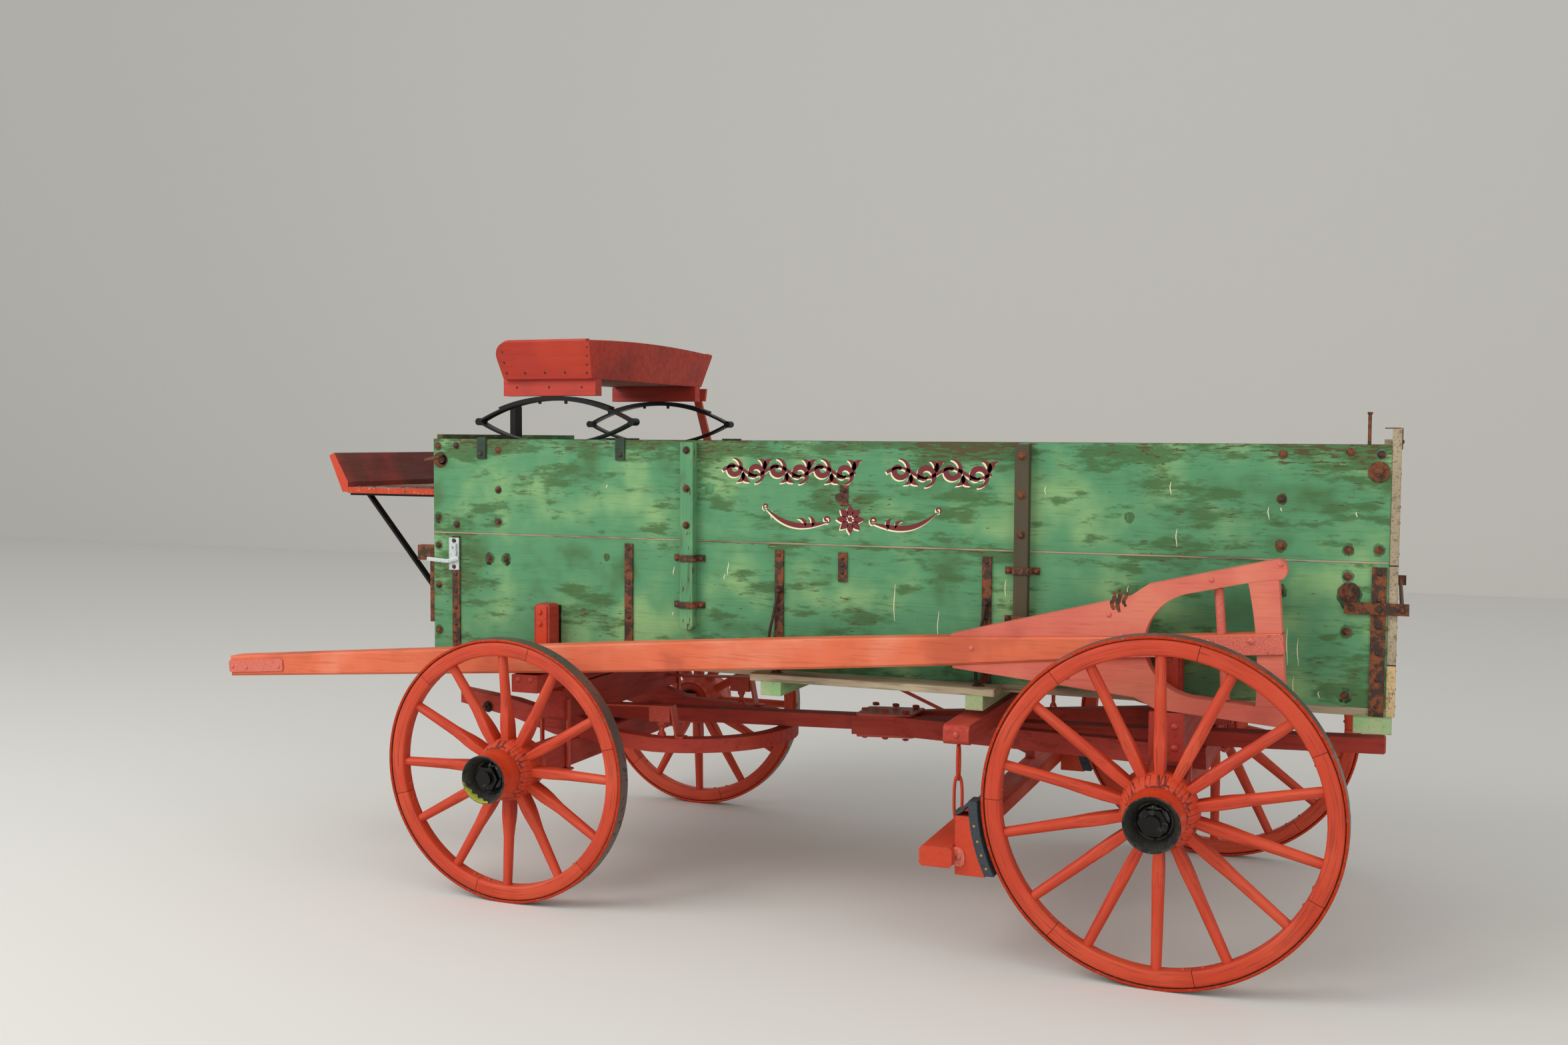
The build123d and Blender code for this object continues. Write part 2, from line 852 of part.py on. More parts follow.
gate_thick = 25
gate_top = box_top + 46
gate_seams = (floor_top + 126, seam_z - 10)
gate_fit = 0.3
cleat_thick = 22
gate_front = box_rear + gate_fit
with BuildPart() as rear_gate:
    levels = (floor_under + gate_fit, gate_seams[0], gate_seams[1], gate_top)
    for low, high in zip(levels[:-1], levels[1:]):
        block(
            gate_front,
            gate_front + gate_thick,
            -box_half + 2,
            box_half - 2,
            low + (seam if low > floor_top else 0),
            high,
        )
    for side in (-1, 1):
        block(
            gate_front - cleat_thick,
            gate_front,
            side * (box_half - 230),
            side * (box_half - 160),
            floor_top + 10,
            gate_top - 30,
        )
rear_gate.part.label = "rear_gate"
export_step(rear_gate.part, "parts/rear_gate.step")

# Side stakes and flat strap irons on both sides of the box
iron = 6
side_stakes = [
    # place after the box front, width, bottom height over the floor
    (992, 48, 120),
    (2126, 44, 190),
]
stake_depth = 32
with BuildPart() as box_stakes:
    for start, width, foot in side_stakes:
        for side in (-1, 1):
            block(
                box_front + start,
                box_front + start + width,
                side * box_half,
                side * (box_half + stake_depth),
                floor_top + foot,
                box_top - 6,
            )
    fillet(box_stakes.edges().filter_by(Axis.Y).group_by(Axis.Z)[0], radius=14)
box_stakes.part.label = "box_stakes"
export_step(box_stakes.part, "parts/box_stakes.step")

straps = [
    # middle after the box front, width, top below the seam, bottom over the floor
    (95, 30, 14, 0),
    (787, 30, 20, 0),
    (1340, 30, 23, 0),
    (1560, 30, 25, 300),
    (2036, 30, 22, 0),
    (box_length - 25, 40, 15, -23),
]
with BuildPart() as strap_irons:
    for middle, width, drop, foot in straps:
        for side in (-1, 1):
            block(
                box_front + middle - width / 2,
                box_front + middle + width / 2,
                side * box_half,
                side * (box_half + iron),
                floor_top + foot,
                seam_z - drop,
            )
strap_irons.part.label = "strap_irons"
export_step(strap_irons.part, "parts/strap_irons.step")

# Gate keepers: a flat iron on each side and a rod across behind the gate
keeper_z = floor_top + 287
keeper_height = 34
keeper_start = box_rear - 117
keeper_end = box_rear + 56
gate_rod_x = gate_front + gate_thick + body_gap + rod_radius
with BuildPart() as gate_keepers:
    for side in (-1, 1):
        block(
            keeper_start,
            keeper_end,
            side * (box_half + iron),
            side * (box_half + 2 * iron),
            keeper_z - keeper_height / 2,
            keeper_z + keeper_height / 2,
        )
    with Locations(Plane(origin=(gate_rod_x, 0, keeper_z), z_dir=(0, 1, 0))):
        Cylinder(rod_radius, box_width + 4 * iron + 20)
gate_keepers.part.label = "gate_keepers"
export_step(gate_keepers.part, "parts/gate_keepers.step")

# Footboard ahead of the box: three planks, a leaning toe board and two iron braces
deck_top = 1372
deck_thick = 22
deck_front = box_front - 390
deck_half = box_half - 20
deck_planks = 3
deck_back = box_front - 12
with BuildPart() as footboard:
    deck_pitch = (deck_back - deck_front) / deck_planks
    for i in range(deck_planks):
        block(
            deck_front + i * deck_pitch,
            deck_front + (i + 1) * deck_pitch - 2,
            -deck_half,
            deck_half,
            deck_top - deck_thick,
            deck_top,
        )
footboard.part.label = "footboard"
export_step(footboard.part, "parts/footboard.step")

toe_lean = atan(60 / 125)
toe_height = 140
with BuildPart() as toe_board:
    with BuildSketch(side_plane(deck_half)):
        with BuildLine():
            Polyline(
                (deck_front, deck_top - deck_thick + 4),
                (deck_front, deck_top + 20),
                (deck_front - toe_height * sin(toe_lean), deck_top + toe_height * cos(toe_lean)),
                (deck_front - 22 - toe_height * sin(toe_lean), deck_top + toe_height * cos(toe_lean) - 10),
                (deck_front - 24, deck_top - deck_thick + 4),
                close=True,
            )
        make_face()
    extrude(amount=2 * deck_half)
toe_board.part.label = "toe_board"
export_step(toe_board.part, "parts/toe_board.step")

brace_y = deck_half - 30
brace_width = 30
brace_thick = 8
brace_foot_z = 980
brace_head_x = box_front - 315
with BuildPart() as footboard_braces:
    low = deck_top - deck_thick - brace_thick / 2
    back = box_front - brace_thick / 2
    for y in (-brace_y, brace_y):
        with BuildSketch(side_plane(y)):
            with BuildLine():
                Polyline(
                    (deck_front, low),
                    (back, low),
                    (back, brace_foot_z - 40),
                )
                Line((back, brace_foot_z), (brace_head_x, low))
            trace(line_width=brace_thick)
        extrude(amount=brace_width / 2, both=True)
footboard_braces.part.label = "footboard_braces"
export_step(footboard_braces.part, "parts/footboard_braces.step")

# Spring seat: rails hooked over the box sides, elliptic springs, risers and the seat itself
spring_y = box_half - 90
spring_middle_x = box_front + 450
spring_half = 307
spring_rise = 79
spring_mid_z = 1615
leaf = 8
leaf_width = 42
rail_height = 26
spring_low = spring_mid_z - spring_rise - leaf / 2
with BuildPart() as seat_springs:
    for y in (-spring_y, spring_y):
        with BuildSketch(side_plane(y)):
            with BuildLine():
                ThreePointArc(
                    (spring_middle_x - spring_half, spring_mid_z),
                    (spring_middle_x, spring_mid_z + spring_rise),
                    (spring_middle_x + spring_half, spring_mid_z),
                )
                ThreePointArc(
                    (spring_middle_x - spring_half, spring_mid_z),
                    (spring_middle_x, spring_mid_z - spring_rise),
                    (spring_middle_x + spring_half, spring_mid_z),
                )
                ThreePointArc(
                    (spring_middle_x - spring_half * 0.72, spring_mid_z + spring_rise * 0.5 + leaf),
                    (spring_middle_x, spring_mid_z + spring_rise + leaf),
                    (spring_middle_x + spring_half * 0.72, spring_mid_z + spring_rise * 0.5 + leaf),
                )
            trace(line_width=leaf)
            with Locations(
                (spring_middle_x - spring_half, spring_mid_z),
                (spring_middle_x + spring_half, spring_mid_z),
            ):
                Circle(13)
        extrude(amount=leaf_width / 2, both=True)
seat_springs.part.label = "seat_springs"
export_step(seat_springs.part, "parts/seat_springs.step")

hooks = (203, 753)
hook_width = 35
hook_drop = 70
rail_thick = 34
with BuildPart() as seat_rails:
    for side in (-1, 1):
        rail_in = side * (spring_y - rail_thick / 2)
        rail_out = side * (spring_y + rail_thick / 2)
        block(
            box_front + hooks[0] - hook_width / 2,
            box_front + hooks[1] + hook_width / 2,
            rail_in,
            rail_out,
            spring_low - rail_height,
            spring_low,
        )
        for hook in hooks:
            x0 = box_front + hook - hook_width / 2
            x1 = box_front + hook + hook_width / 2
            block(x0, x1, side * box_half, side * (box_half + iron), box_top - hook_drop, box_top + iron)
            block(x0, x1, rail_in, side * box_half, box_top, box_top + iron)
            block(x0, x1, rail_in, side * (spring_y), spring_low, box_top)
seat_rails.part.label = "seat_rails"
export_step(seat_rails.part, "parts/seat_rails.step")

riser_bottom = spring_mid_z + spring_rise + 1.5 * leaf
seat_bottom = riser_bottom + 58
with BuildPart() as seat_risers:
    for side in (-1, 1):
        block(
            box_front + 250,
            box_front + 620,
            side * (spring_y - 22),
            side * (spring_y + 22),
            riser_bottom,
            seat_bottom,
        )
seat_risers.part.label = "seat_risers"
export_step(seat_risers.part, "parts/seat_risers.step")

seat_board = 18
seat_front = box_front + 262
seat_back = box_front + 617
seat_low_half = box_half - 50
seat_high_half = box_half + 10
seat_height = 128
seat_rake = 22
seat_crown = 14
back_lap = 2
flare = atan((seat_high_half - seat_low_half) / seat_height)
seat_slant = seat_height / cos(flare)
with BuildPart() as seat_box:
    block(
        seat_front,
        seat_back - seat_board / 2,
        -seat_low_half + 1,
        seat_low_half - 1,
        seat_bottom,
        seat_bottom + seat_board,
    )
    side_frame = Plane(
        origin=(0, -seat_low_half, seat_bottom),
        x_dir=(1, 0, 0),
        z_dir=(0, -cos(flare), -sin(flare)),
    )
    with BuildSketch(side_frame):
        with BuildLine():
            Polyline(
                (seat_front, 0),
                (seat_back - seat_board / 2, 0),
                (seat_back + seat_rake - seat_board / 2, seat_slant),
                (seat_front + 45, seat_slant),
            )
            ThreePointArc(
                (seat_front + 45, seat_slant),
                (seat_front + 6, seat_slant * 0.86),
                (seat_front - 8, seat_slant * 0.55),
            )
            Line((seat_front - 8, seat_slant * 0.55), (seat_front, 0))
        make_face()
    extrude(amount=-seat_board)
    mirror(about=Plane.XZ)
    back_frame = Plane(
        origin=(seat_back, 0, seat_bottom),
        x_dir=(0, 1, 0),
        z_dir=(seat_height, 0, -seat_rake),
    )
    with BuildSketch(back_frame):
        with BuildLine():
            back_tall = hypot(seat_height, seat_rake)
            Polyline(
                (-seat_high_half - back_lap, back_tall),
                (-seat_low_half - back_lap, 0),
                (seat_low_half + back_lap, 0),
                (seat_high_half + back_lap, back_tall),
            )
            ThreePointArc(
                (seat_high_half + back_lap, back_tall),
                (0, back_tall + seat_crown),
                (-seat_high_half - back_lap, back_tall),
            )
        make_face()
    extrude(amount=-seat_board)
seat_box.part.label = "seat_box"
export_step(seat_box.part, "parts/seat_box.step")

# Brake: hanger bar on the rear hounds, chains, beam and the two shoes ahead of the rear wheels
shoe_clear = 9
pad_thick = 26
holder_neck = 38
shoe_inner = rear_radius + shoe_clear
beam_depth = 100
beam_x1 = rear_axle_x - shoe_inner - pad_thick - holder_neck
beam_x0 = beam_x1 - beam_depth
bar_set_back = 37
bar_depth = 80
bar_x0 = beam_x0 + bar_set_back
bar_x1 = bar_x0 + bar_depth
bar_half = track / 2 - 34
bar_bottom = 645
bar_top = 705
bar_leg_inner = 152
bar_leg_outer = 198
bar_leg_lap = 5
hound_top_at_bar = rear_hound_z + rear_hound_slope * (bar_x1 - rear_hound_x) + rear_hound_height * hypot(
    1, rear_hound_slope
)
with BuildPart() as brake_bar:
    block(bar_x0, bar_x1, -bar_half, bar_half, bar_bottom, bar_top)
    fillet(brake_bar.edges().filter_by(Axis.X), radius=18)
    for side in (-1, 1):
        block(
            bar_x0,
            bar_x1,
            side * bar_leg_inner,
            side * bar_leg_outer,
            hound_top_at_bar + 0.3,
            bar_bottom + bar_leg_lap,
        )
brake_bar.part.label = "brake_bar"
export_step(brake_bar.part, "parts/brake_bar.step")

beam_bottom = 302
beam_top = 362
beam_half = track / 2 + 81
with BuildPart() as brake_beam:
    block(beam_x0, beam_x1, -beam_half, beam_half, beam_bottom, beam_top)
    chamfer(brake_beam.edges().filter_by(Axis.Y), length=8)
brake_beam.part.label = "brake_beam"
export_step(brake_beam.part, "parts/brake_beam.step")

# Chains: a long link from the bar, a longer one through it, and the eye on the beam
chain_y = bar_half - 35
chain_x = (bar_x0 + bar_x1) / 2
link_wire = 10
link_inner_half = 8
link_corner = 10
link_play = 0.3
link_seat = 0.3
link_shares = (0.36, 0.50, 0.14)
chain_drop = bar_bottom - beam_top
joined_play = (len(link_shares) - 1) * link_play
inner_lengths = chain_drop - 2 * link_wire - 2 * link_seat + joined_play
with BuildPart() as brake_chains:
    for y in (-chain_y, chain_y):
        inner_top = bar_bottom - link_seat - link_wire
        for i, share in enumerate(link_shares):
            link_inner = share * inner_lengths
            facing = (0, 1, 0) if i % 2 else (1, 0, 0)
            middle = (chain_x, y, inner_top - link_inner / 2)
            with BuildSketch(Plane(origin=middle, x_dir=(0, 0, 1), z_dir=facing)) as outline:
                Rectangle(link_inner + 2 * link_wire, 2 * (link_inner_half + link_wire))
                chamfer(outline.vertices(), length=link_corner)
                Rectangle(link_inner, 2 * link_inner_half, mode=Mode.SUBTRACT)
            extrude(amount=link_wire / 2, both=True)
            inner_top -= link_inner - link_play
brake_chains.part.label = "brake_chains"
export_step(brake_chains.part, "parts/brake_chains.step")

shoe_y0 = track / 2 - 20
shoe_y1 = shoe_y0 + 66
shoe_low = 280
shoe_high = 498
shoe_blank = 250
holder_low = 276
holder_high = 452
holder_depth = 120
with BuildPart() as brake_shoes:
    for side in (-1, 1):
        with BuildSketch(side_plane(side * (shoe_y0 + shoe_y1) / 2)):
            with Locations((rear_axle_x, rear_hub_z)):
                Circle(shoe_inner + pad_thick)
                Circle(shoe_inner, mode=Mode.SUBTRACT)
            with Locations((rear_axle_x - rear_radius, (shoe_low + shoe_high) / 2)):
                Rectangle(shoe_blank, shoe_high - shoe_low, mode=Mode.INTERSECT)
        extrude(amount=(shoe_y1 - shoe_y0) / 2, both=True)
brake_shoes.part.label = "brake_shoes"
export_step(brake_shoes.part, "parts/brake_shoes.step")

with BuildPart() as shoe_holders:
    for side in (-1, 1):
        with BuildSketch(side_plane(side * (shoe_y0 + shoe_y1) / 2)):
            with Locations((beam_x1 + holder_depth / 2, (holder_low + holder_high) / 2)):
                Rectangle(holder_depth, holder_high - holder_low)
            with Locations((rear_axle_x, rear_hub_z)):
                Circle(shoe_inner + pad_thick, mode=Mode.SUBTRACT)
        extrude(amount=(shoe_y1 - shoe_y0) / 2, both=True)
shoe_holders.part.label = "shoe_holders"
export_step(shoe_holders.part, "parts/shoe_holders.step")

# Brake lever on the right side of the box, with the rod from its foot to the beam
lever_head = (box_front + 560, 1745)
lever_foot = (box_front + 800, 850)
grip_bend = (lever_head[0] + 30, lever_head[1])
grip_tip = (lever_head[0] + 26, lever_head[1] - 34)
lever_wide = 30
lever_thick = 14
lever_y = box_half + 20
lever_share = 0.776
pivot_x = lever_head[0] + lever_share * (lever_foot[0] - lever_head[0])
pivot_z = lever_head[1] + lever_share * (lever_foot[1] - lever_head[1])
pivot_plate = (44, 110)
pivot_radius = 9
pull_radius = 7
lug = (beam_x0 + 12, beam_x0 + 42)
lug_height = 30
with BuildPart() as brake_lever:
    with BuildSketch(side_plane(lever_y + lever_thick)):
        with BuildLine():
            Polyline(grip_tip, grip_bend, lever_head, lever_foot)
        trace(line_width=lever_wide)
    extrude(amount=lever_thick)
    with Locations((pivot_x, box_half + iron / 2, pivot_z)):
        Box(pivot_plate[0], iron, pivot_plate[1])
    with Locations(Plane(origin=(pivot_x, box_half, pivot_z), z_dir=(0, 1, 0))):
        Cylinder(
            pivot_radius, lever_y - box_half + 2 * lever_thick, align=(Align.CENTER, Align.CENTER, Align.MIN)
        )
    pull_y = lever_y + lever_thick / 2
    pull_start = Vector(lever_foot[0], pull_y, lever_foot[1])
    pull_end = Vector((lug[0] + lug[1]) / 2, pull_y, beam_top + lug_height / 2)
    with Locations(Plane(origin=pull_start, z_dir=pull_end - pull_start)):
        Cylinder(pull_radius, (pull_end - pull_start).length, align=(Align.CENTER, Align.CENTER, Align.MIN))
    block(lug[0], lug[1], pull_y - lever_thick, pull_y + lever_thick, beam_top, beam_top + lug_height)
brake_lever.part.label = "brake_lever"
export_step(brake_lever.part, "parts/brake_lever.step")

# Irons of the tongue: tip plates, the long strap round the rear end, and the rod between the hounds
plate_thick = 5
tip_plate_length = 245
tip_plate_half = 22.5
strap_start = pole_length - 536
strap_half = 27.5
strap_slot_at = 45
rod_s = pole_length - 166
tongue_rod_radius = 13
rod_seat = 0.2
rod_share = (rod_s - tongue_rod_radius - crook_s) / (post_start - crook_s)
rod_reach = crook_half + (arm_inner_half - crook_half) * rod_share - rod_seat
with BuildPart() as tongue_irons:
    for face in (-plate_thick, tongue_thick):
        with BuildSketch(tongue_plane.offset(face)):
            with Locations((tip_plate_length / 2, 0)):
                RectangleRounded(tip_plate_length, 2 * tip_plate_half, 10)
            with Locations(((strap_start + pole_length) / 2, 0)):
                Rectangle(pole_length - strap_start, 2 * strap_half)
            with Locations((strap_start + strap_slot_at, 0)):
                SlotOverall(44, 14, mode=Mode.SUBTRACT)
        extrude(amount=plate_thick)
    with BuildSketch(tongue_plane.offset(-plate_thick)):
        with Locations((pole_length + plate_thick / 2, 0)):
            Rectangle(plate_thick, 2 * strap_half)
    extrude(amount=tongue_thick + 2 * plate_thick)
    for side in (-1, 1):
        rod_middle = side * (pole_rear_half + rod_seat + rod_reach) / 2
        with Locations(tongue_plane.offset(tongue_thick / 2)):
            with Locations(Location((rod_s, rod_middle, 0), (90, 0, 0))):
                Cylinder(tongue_rod_radius, rod_reach - pole_rear_half - rod_seat)
tongue_irons.part.label = "tongue_irons"
export_step(tongue_irons.part, "parts/tongue_irons.step")

# Rub irons on the bow: a turned pin, a block and a strap forward to the sand board
bow_iron_y = 355
bow_iron_width = 40
bow_top_front = front_axle_top + 26
bow_top_rear = front_axle_top + 22
bow_flat_x = front_axle_x + 351
rub_block = (box_front + 800, box_front + 880)
rub_foot = (box_front + 900, box_front + 930)
rub_block_low = 568
rub_strap_front_z = 613
rub_strap_rear_z = 627
pin_radius = 15
pin_neck = 9
pin_base = 8
pin_neck_low = 18
pin_neck_high = 32
pin_shoulder = 42


def bow_top(x):
    """Height of the top of the bow at a place along the wagon."""
    return bow_top_front + (bow_top_rear - bow_top_front) * (x - bow_flat_x) / (bow_rear_x - bow_flat_x)


with BuildPart() as bow_irons:
    pin_x = (rub_block[0] + rub_block[1]) / 2
    pin_low = bow_top(pin_x) + 0.2
    foot_low = bow_top(rub_foot[0]) + 0.2
    sand_rear = front_axle_x + seat_half - 2 + 0.2
    for side in (-1, 1):
        with BuildSketch(side_plane(side * bow_iron_y)):
            with BuildLine():
                Polyline(
                    (sand_rear, rub_strap_front_z - iron),
                    (rub_block[1], rub_strap_rear_z - iron),
                    (rub_foot[0], foot_low),
                    (rub_foot[1], foot_low),
                    (rub_foot[1], foot_low + iron),
                    (rub_foot[0] + iron, foot_low + iron),
                    (rub_block[1] + iron, rub_strap_rear_z),
                    (sand_rear, rub_strap_front_z),
                    close=True,
                )
            make_face()
        extrude(amount=bow_iron_width / 2, both=True)
        block(
            rub_block[0],
            rub_block[1],
            side * bow_iron_y - bow_iron_width / 2,
            side * bow_iron_y + bow_iron_width / 2,
            rub_block_low,
            rub_strap_rear_z - iron,
        )
        pin_plane = Plane(origin=(pin_x, side * bow_iron_y, pin_low), x_dir=(1, 0, 0), z_dir=(0, -1, 0))
        with BuildSketch(pin_plane):
            with BuildLine():
                Polyline(
                    (0, 0),
                    (pin_radius, 0),
                    (pin_radius, pin_base),
                    (pin_neck, pin_neck_low),
                    (pin_neck, pin_neck_high),
                    (pin_radius, pin_shoulder),
                    (pin_radius, rub_block_low - pin_low),
                    (0, rub_block_low - pin_low),
                    close=True,
                )
            make_face()
        revolve(axis=Axis((pin_x, side * bow_iron_y, 0), (0, 0, 1)))
bow_irons.part.label = "bow_irons"
export_step(bow_irons.part, "parts/bow_irons.step")

# Iron handle bars and head blocks on the front corners of the box
handle_low = floor_top + 93
handle_high = floor_top + 320
handle_reach = 18
head_reach = 71
head_low = handle_high - 5
head_high = floor_top + 369
with BuildPart() as front_irons:
    for side in (-1, 1):
        block(
            box_front - handle_reach,
            box_front,
            side * (box_half - 30),
            side * box_half,
            handle_low,
            handle_high,
        )
        block(
            box_front - head_reach,
            box_front,
            side * (box_half - 32),
            side * box_half,
            head_low,
            head_high,
        )
front_irons.part.label = "front_irons"
export_step(front_irons.part, "parts/front_irons.step")
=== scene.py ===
"""Looks of a horse-drawn box wagon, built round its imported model.

Shapes are worked out in millimetres and put() turns them into metres; materials, lamps and the
camera are in metres.  The wagon travels towards -X and its left side is at -Y.  Distances called
"back" are measured along the wagon from the front face of its box.
"""
import json
import math

import bpy
import numpy as np
from mathutils import Matrix, Vector
from numpy import array, concatenate, cos, interp, linspace, pi, sin, stack


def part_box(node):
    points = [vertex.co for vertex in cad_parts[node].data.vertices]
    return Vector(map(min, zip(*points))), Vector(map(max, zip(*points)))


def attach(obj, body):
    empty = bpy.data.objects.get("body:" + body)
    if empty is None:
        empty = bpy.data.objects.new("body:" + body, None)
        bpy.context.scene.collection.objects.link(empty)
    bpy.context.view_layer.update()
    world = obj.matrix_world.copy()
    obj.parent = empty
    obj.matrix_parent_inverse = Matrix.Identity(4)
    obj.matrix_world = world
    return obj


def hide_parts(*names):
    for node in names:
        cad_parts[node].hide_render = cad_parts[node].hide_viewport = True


bl_info = {
    "name": "Box Wagon Dresser",
    "version": (1, 0, 0),
    "blender": (4, 5, 0),
    "location": "View3D > Sidebar > Wagon",
    "description": "Adds wheels, irons, paint and a studio to the packed box wagon",
    "category": "Object",
}

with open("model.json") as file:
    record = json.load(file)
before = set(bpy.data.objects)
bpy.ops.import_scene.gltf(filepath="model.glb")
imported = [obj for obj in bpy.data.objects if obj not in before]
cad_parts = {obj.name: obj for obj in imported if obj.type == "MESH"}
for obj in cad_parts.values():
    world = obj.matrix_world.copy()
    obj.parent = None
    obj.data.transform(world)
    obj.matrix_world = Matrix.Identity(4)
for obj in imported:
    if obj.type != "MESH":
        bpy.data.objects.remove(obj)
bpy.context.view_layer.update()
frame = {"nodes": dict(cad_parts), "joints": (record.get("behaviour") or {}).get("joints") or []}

MM = 0.001
LOW, HIGH = (array(corner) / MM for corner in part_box("box_side_left"))
BOX_FRONT, BOX_FACE, FLOOR_TOP = LOW
BOX_REAR, BOX_TOP = HIGH[[0, 2]]
SEAM = FLOOR_TOP + 420
LEFT, UP, DOWN = (0, -1, 0), (0, 0, 1), (0, 0, -1)


def linear(code):
    """Turn an sRGB hex colour into linear RGBA."""
    channels = [int(code[i : i + 2], 16) / 255 for i in (1, 3, 5)]
    return (*[c / 12.92 if c <= 0.04045 else ((c + 0.055) / 1.055) ** 2.4 for c in channels], 1.0)


def paint_property(name, description, code):
    """A colour property with a readable name, whose default is an sRGB hex value."""
    return bpy.props.FloatVectorProperty(
        name=name.replace("_", " ").capitalize(), description=description, default=linear(code),
        subtype="COLOR", size=4, min=0, max=1,
    )


PAINTS = {
    # setting: what it is, sRGB value
    "box_green": ("Sea-green oil paint of the box", "#538F62"),
    "box_deep": ("Olive green where the paint has gone dark", "#3D6231"),
    "box_chalk": ("Green where the paint has chalked", "#86AE72"),
    "box_grime": ("Olive-brown wear in the green", "#4E4120"),
    "box_brown": ("Brown wood where the green has chipped off", "#6B4A2C"),
    "wheel_light": ("Enamel where it has faded", "#DB5C38"),
    "gear_light": ("Painted irons of the running gear", "#C44A35"),
    "tongue_light": ("Salmon enamel where it has chalked", "#EA9272"),
    "bare_dark": ("Dark grain of weathered pine", "#57493A"),
    "bare_light": ("Pale ridges of weathered pine", "#C6B896"),
    "oak_brown": ("Rear stake of the box, bare of paint", "#463022"),
    "grease": ("Dry grease on the noses", "#4A463C"),
    "pad": ("Blue-black pad", "#333B43"),
    "silver": ("Silver paint of the hasp", "#C9D2D0"),
    "new_pine": ("Pale new board low in the gate", "#CDB07C"),
    "brass": ("Brass screws of the brake pad", "#A98C4C"),
    "sign_maroon": ("Maroon of the ornament", "#6E1A1F"),
    "sign_cream": ("Cream of the ornament", "#EFE6BE"),
    "wheel_red": ("Orange-red enamel of the wheels", "#C63C18"),
    "wheel_dark": ("Enamel gone dark in the grain", "#8E2A16"),
    "gear_red": ("Dark red enamel of the running gear", "#B03423"),
    "gear_dark": ("Running gear enamel under dust", "#6A2118"),
    "tongue_red": ("Sun-faded salmon enamel of the pole", "#DB6A43"),
    "hound_red": ("Pinkish faded enamel of the tongue hounds", "#D46A57"),
    "seat_red": ("Bright red enamel of the seat", "#B52C16"),
    "rail_green": ("Dark green of the seat rails", "#22382A"),
    "lichen": ("Yellow-green lichen on a hub nose", "#9A9C2E"),
    "toe_maroon": ("Maroon enamel of the toe board", "#66261B"),
    "bare_wood": ("Weathered pine with no paint", "#A39378"),
    "old_iron": ("Brown scale on forged iron", "#4B3A30"),
    "rust": ("Orange rust on forged iron", "#7E4526"),
    "black_iron": ("Blacked and greased iron", "#1A1918"),
    "tyre_steel": ("Rubbed brown-grey tyre steel", "#83706A"),
}


class WagonPaints(bpy.types.PropertyGroup):
    """Colours of the wagon's paints, woods and irons."""

    __annotations__ = {name: paint_property(name, *row) for name, row in PAINTS.items()}


class WagonStage(bpy.types.PropertyGroup):
    """The studio round the wagon and the camera."""

    lens: bpy.props.FloatProperty(name="Lens", description="Focal length in mm", default=35.24, min=1)
    camera_place: bpy.props.FloatVectorProperty(
        name="Camera place", description="Where the camera stands", subtype="XYZ", unit="LENGTH",
        default=(1.965, -5.166, 1.560),
    )
    yaw: bpy.props.FloatProperty(name="Yaw", description="Turn left", subtype="ANGLE", default=0.3767)
    pitch: bpy.props.FloatProperty(name="Pitch", description="Tilt up", subtype="ANGLE", default=-0.0545)
    roll: bpy.props.FloatProperty(name="Roll", description="Roll", subtype="ANGLE", default=-0.006)
    sky: bpy.props.FloatProperty(name="Sky", description="Strength of the even light", default=0.75, min=0)
    key: bpy.props.FloatProperty(name="Key", description="Key light in watts", default=420, min=0)
    fill: bpy.props.FloatProperty(name="Fill", description="Fill light in watts", default=120, min=0)
    floor_colour: paint_property("floor", "Pale studio floor", "#DCD9D2")


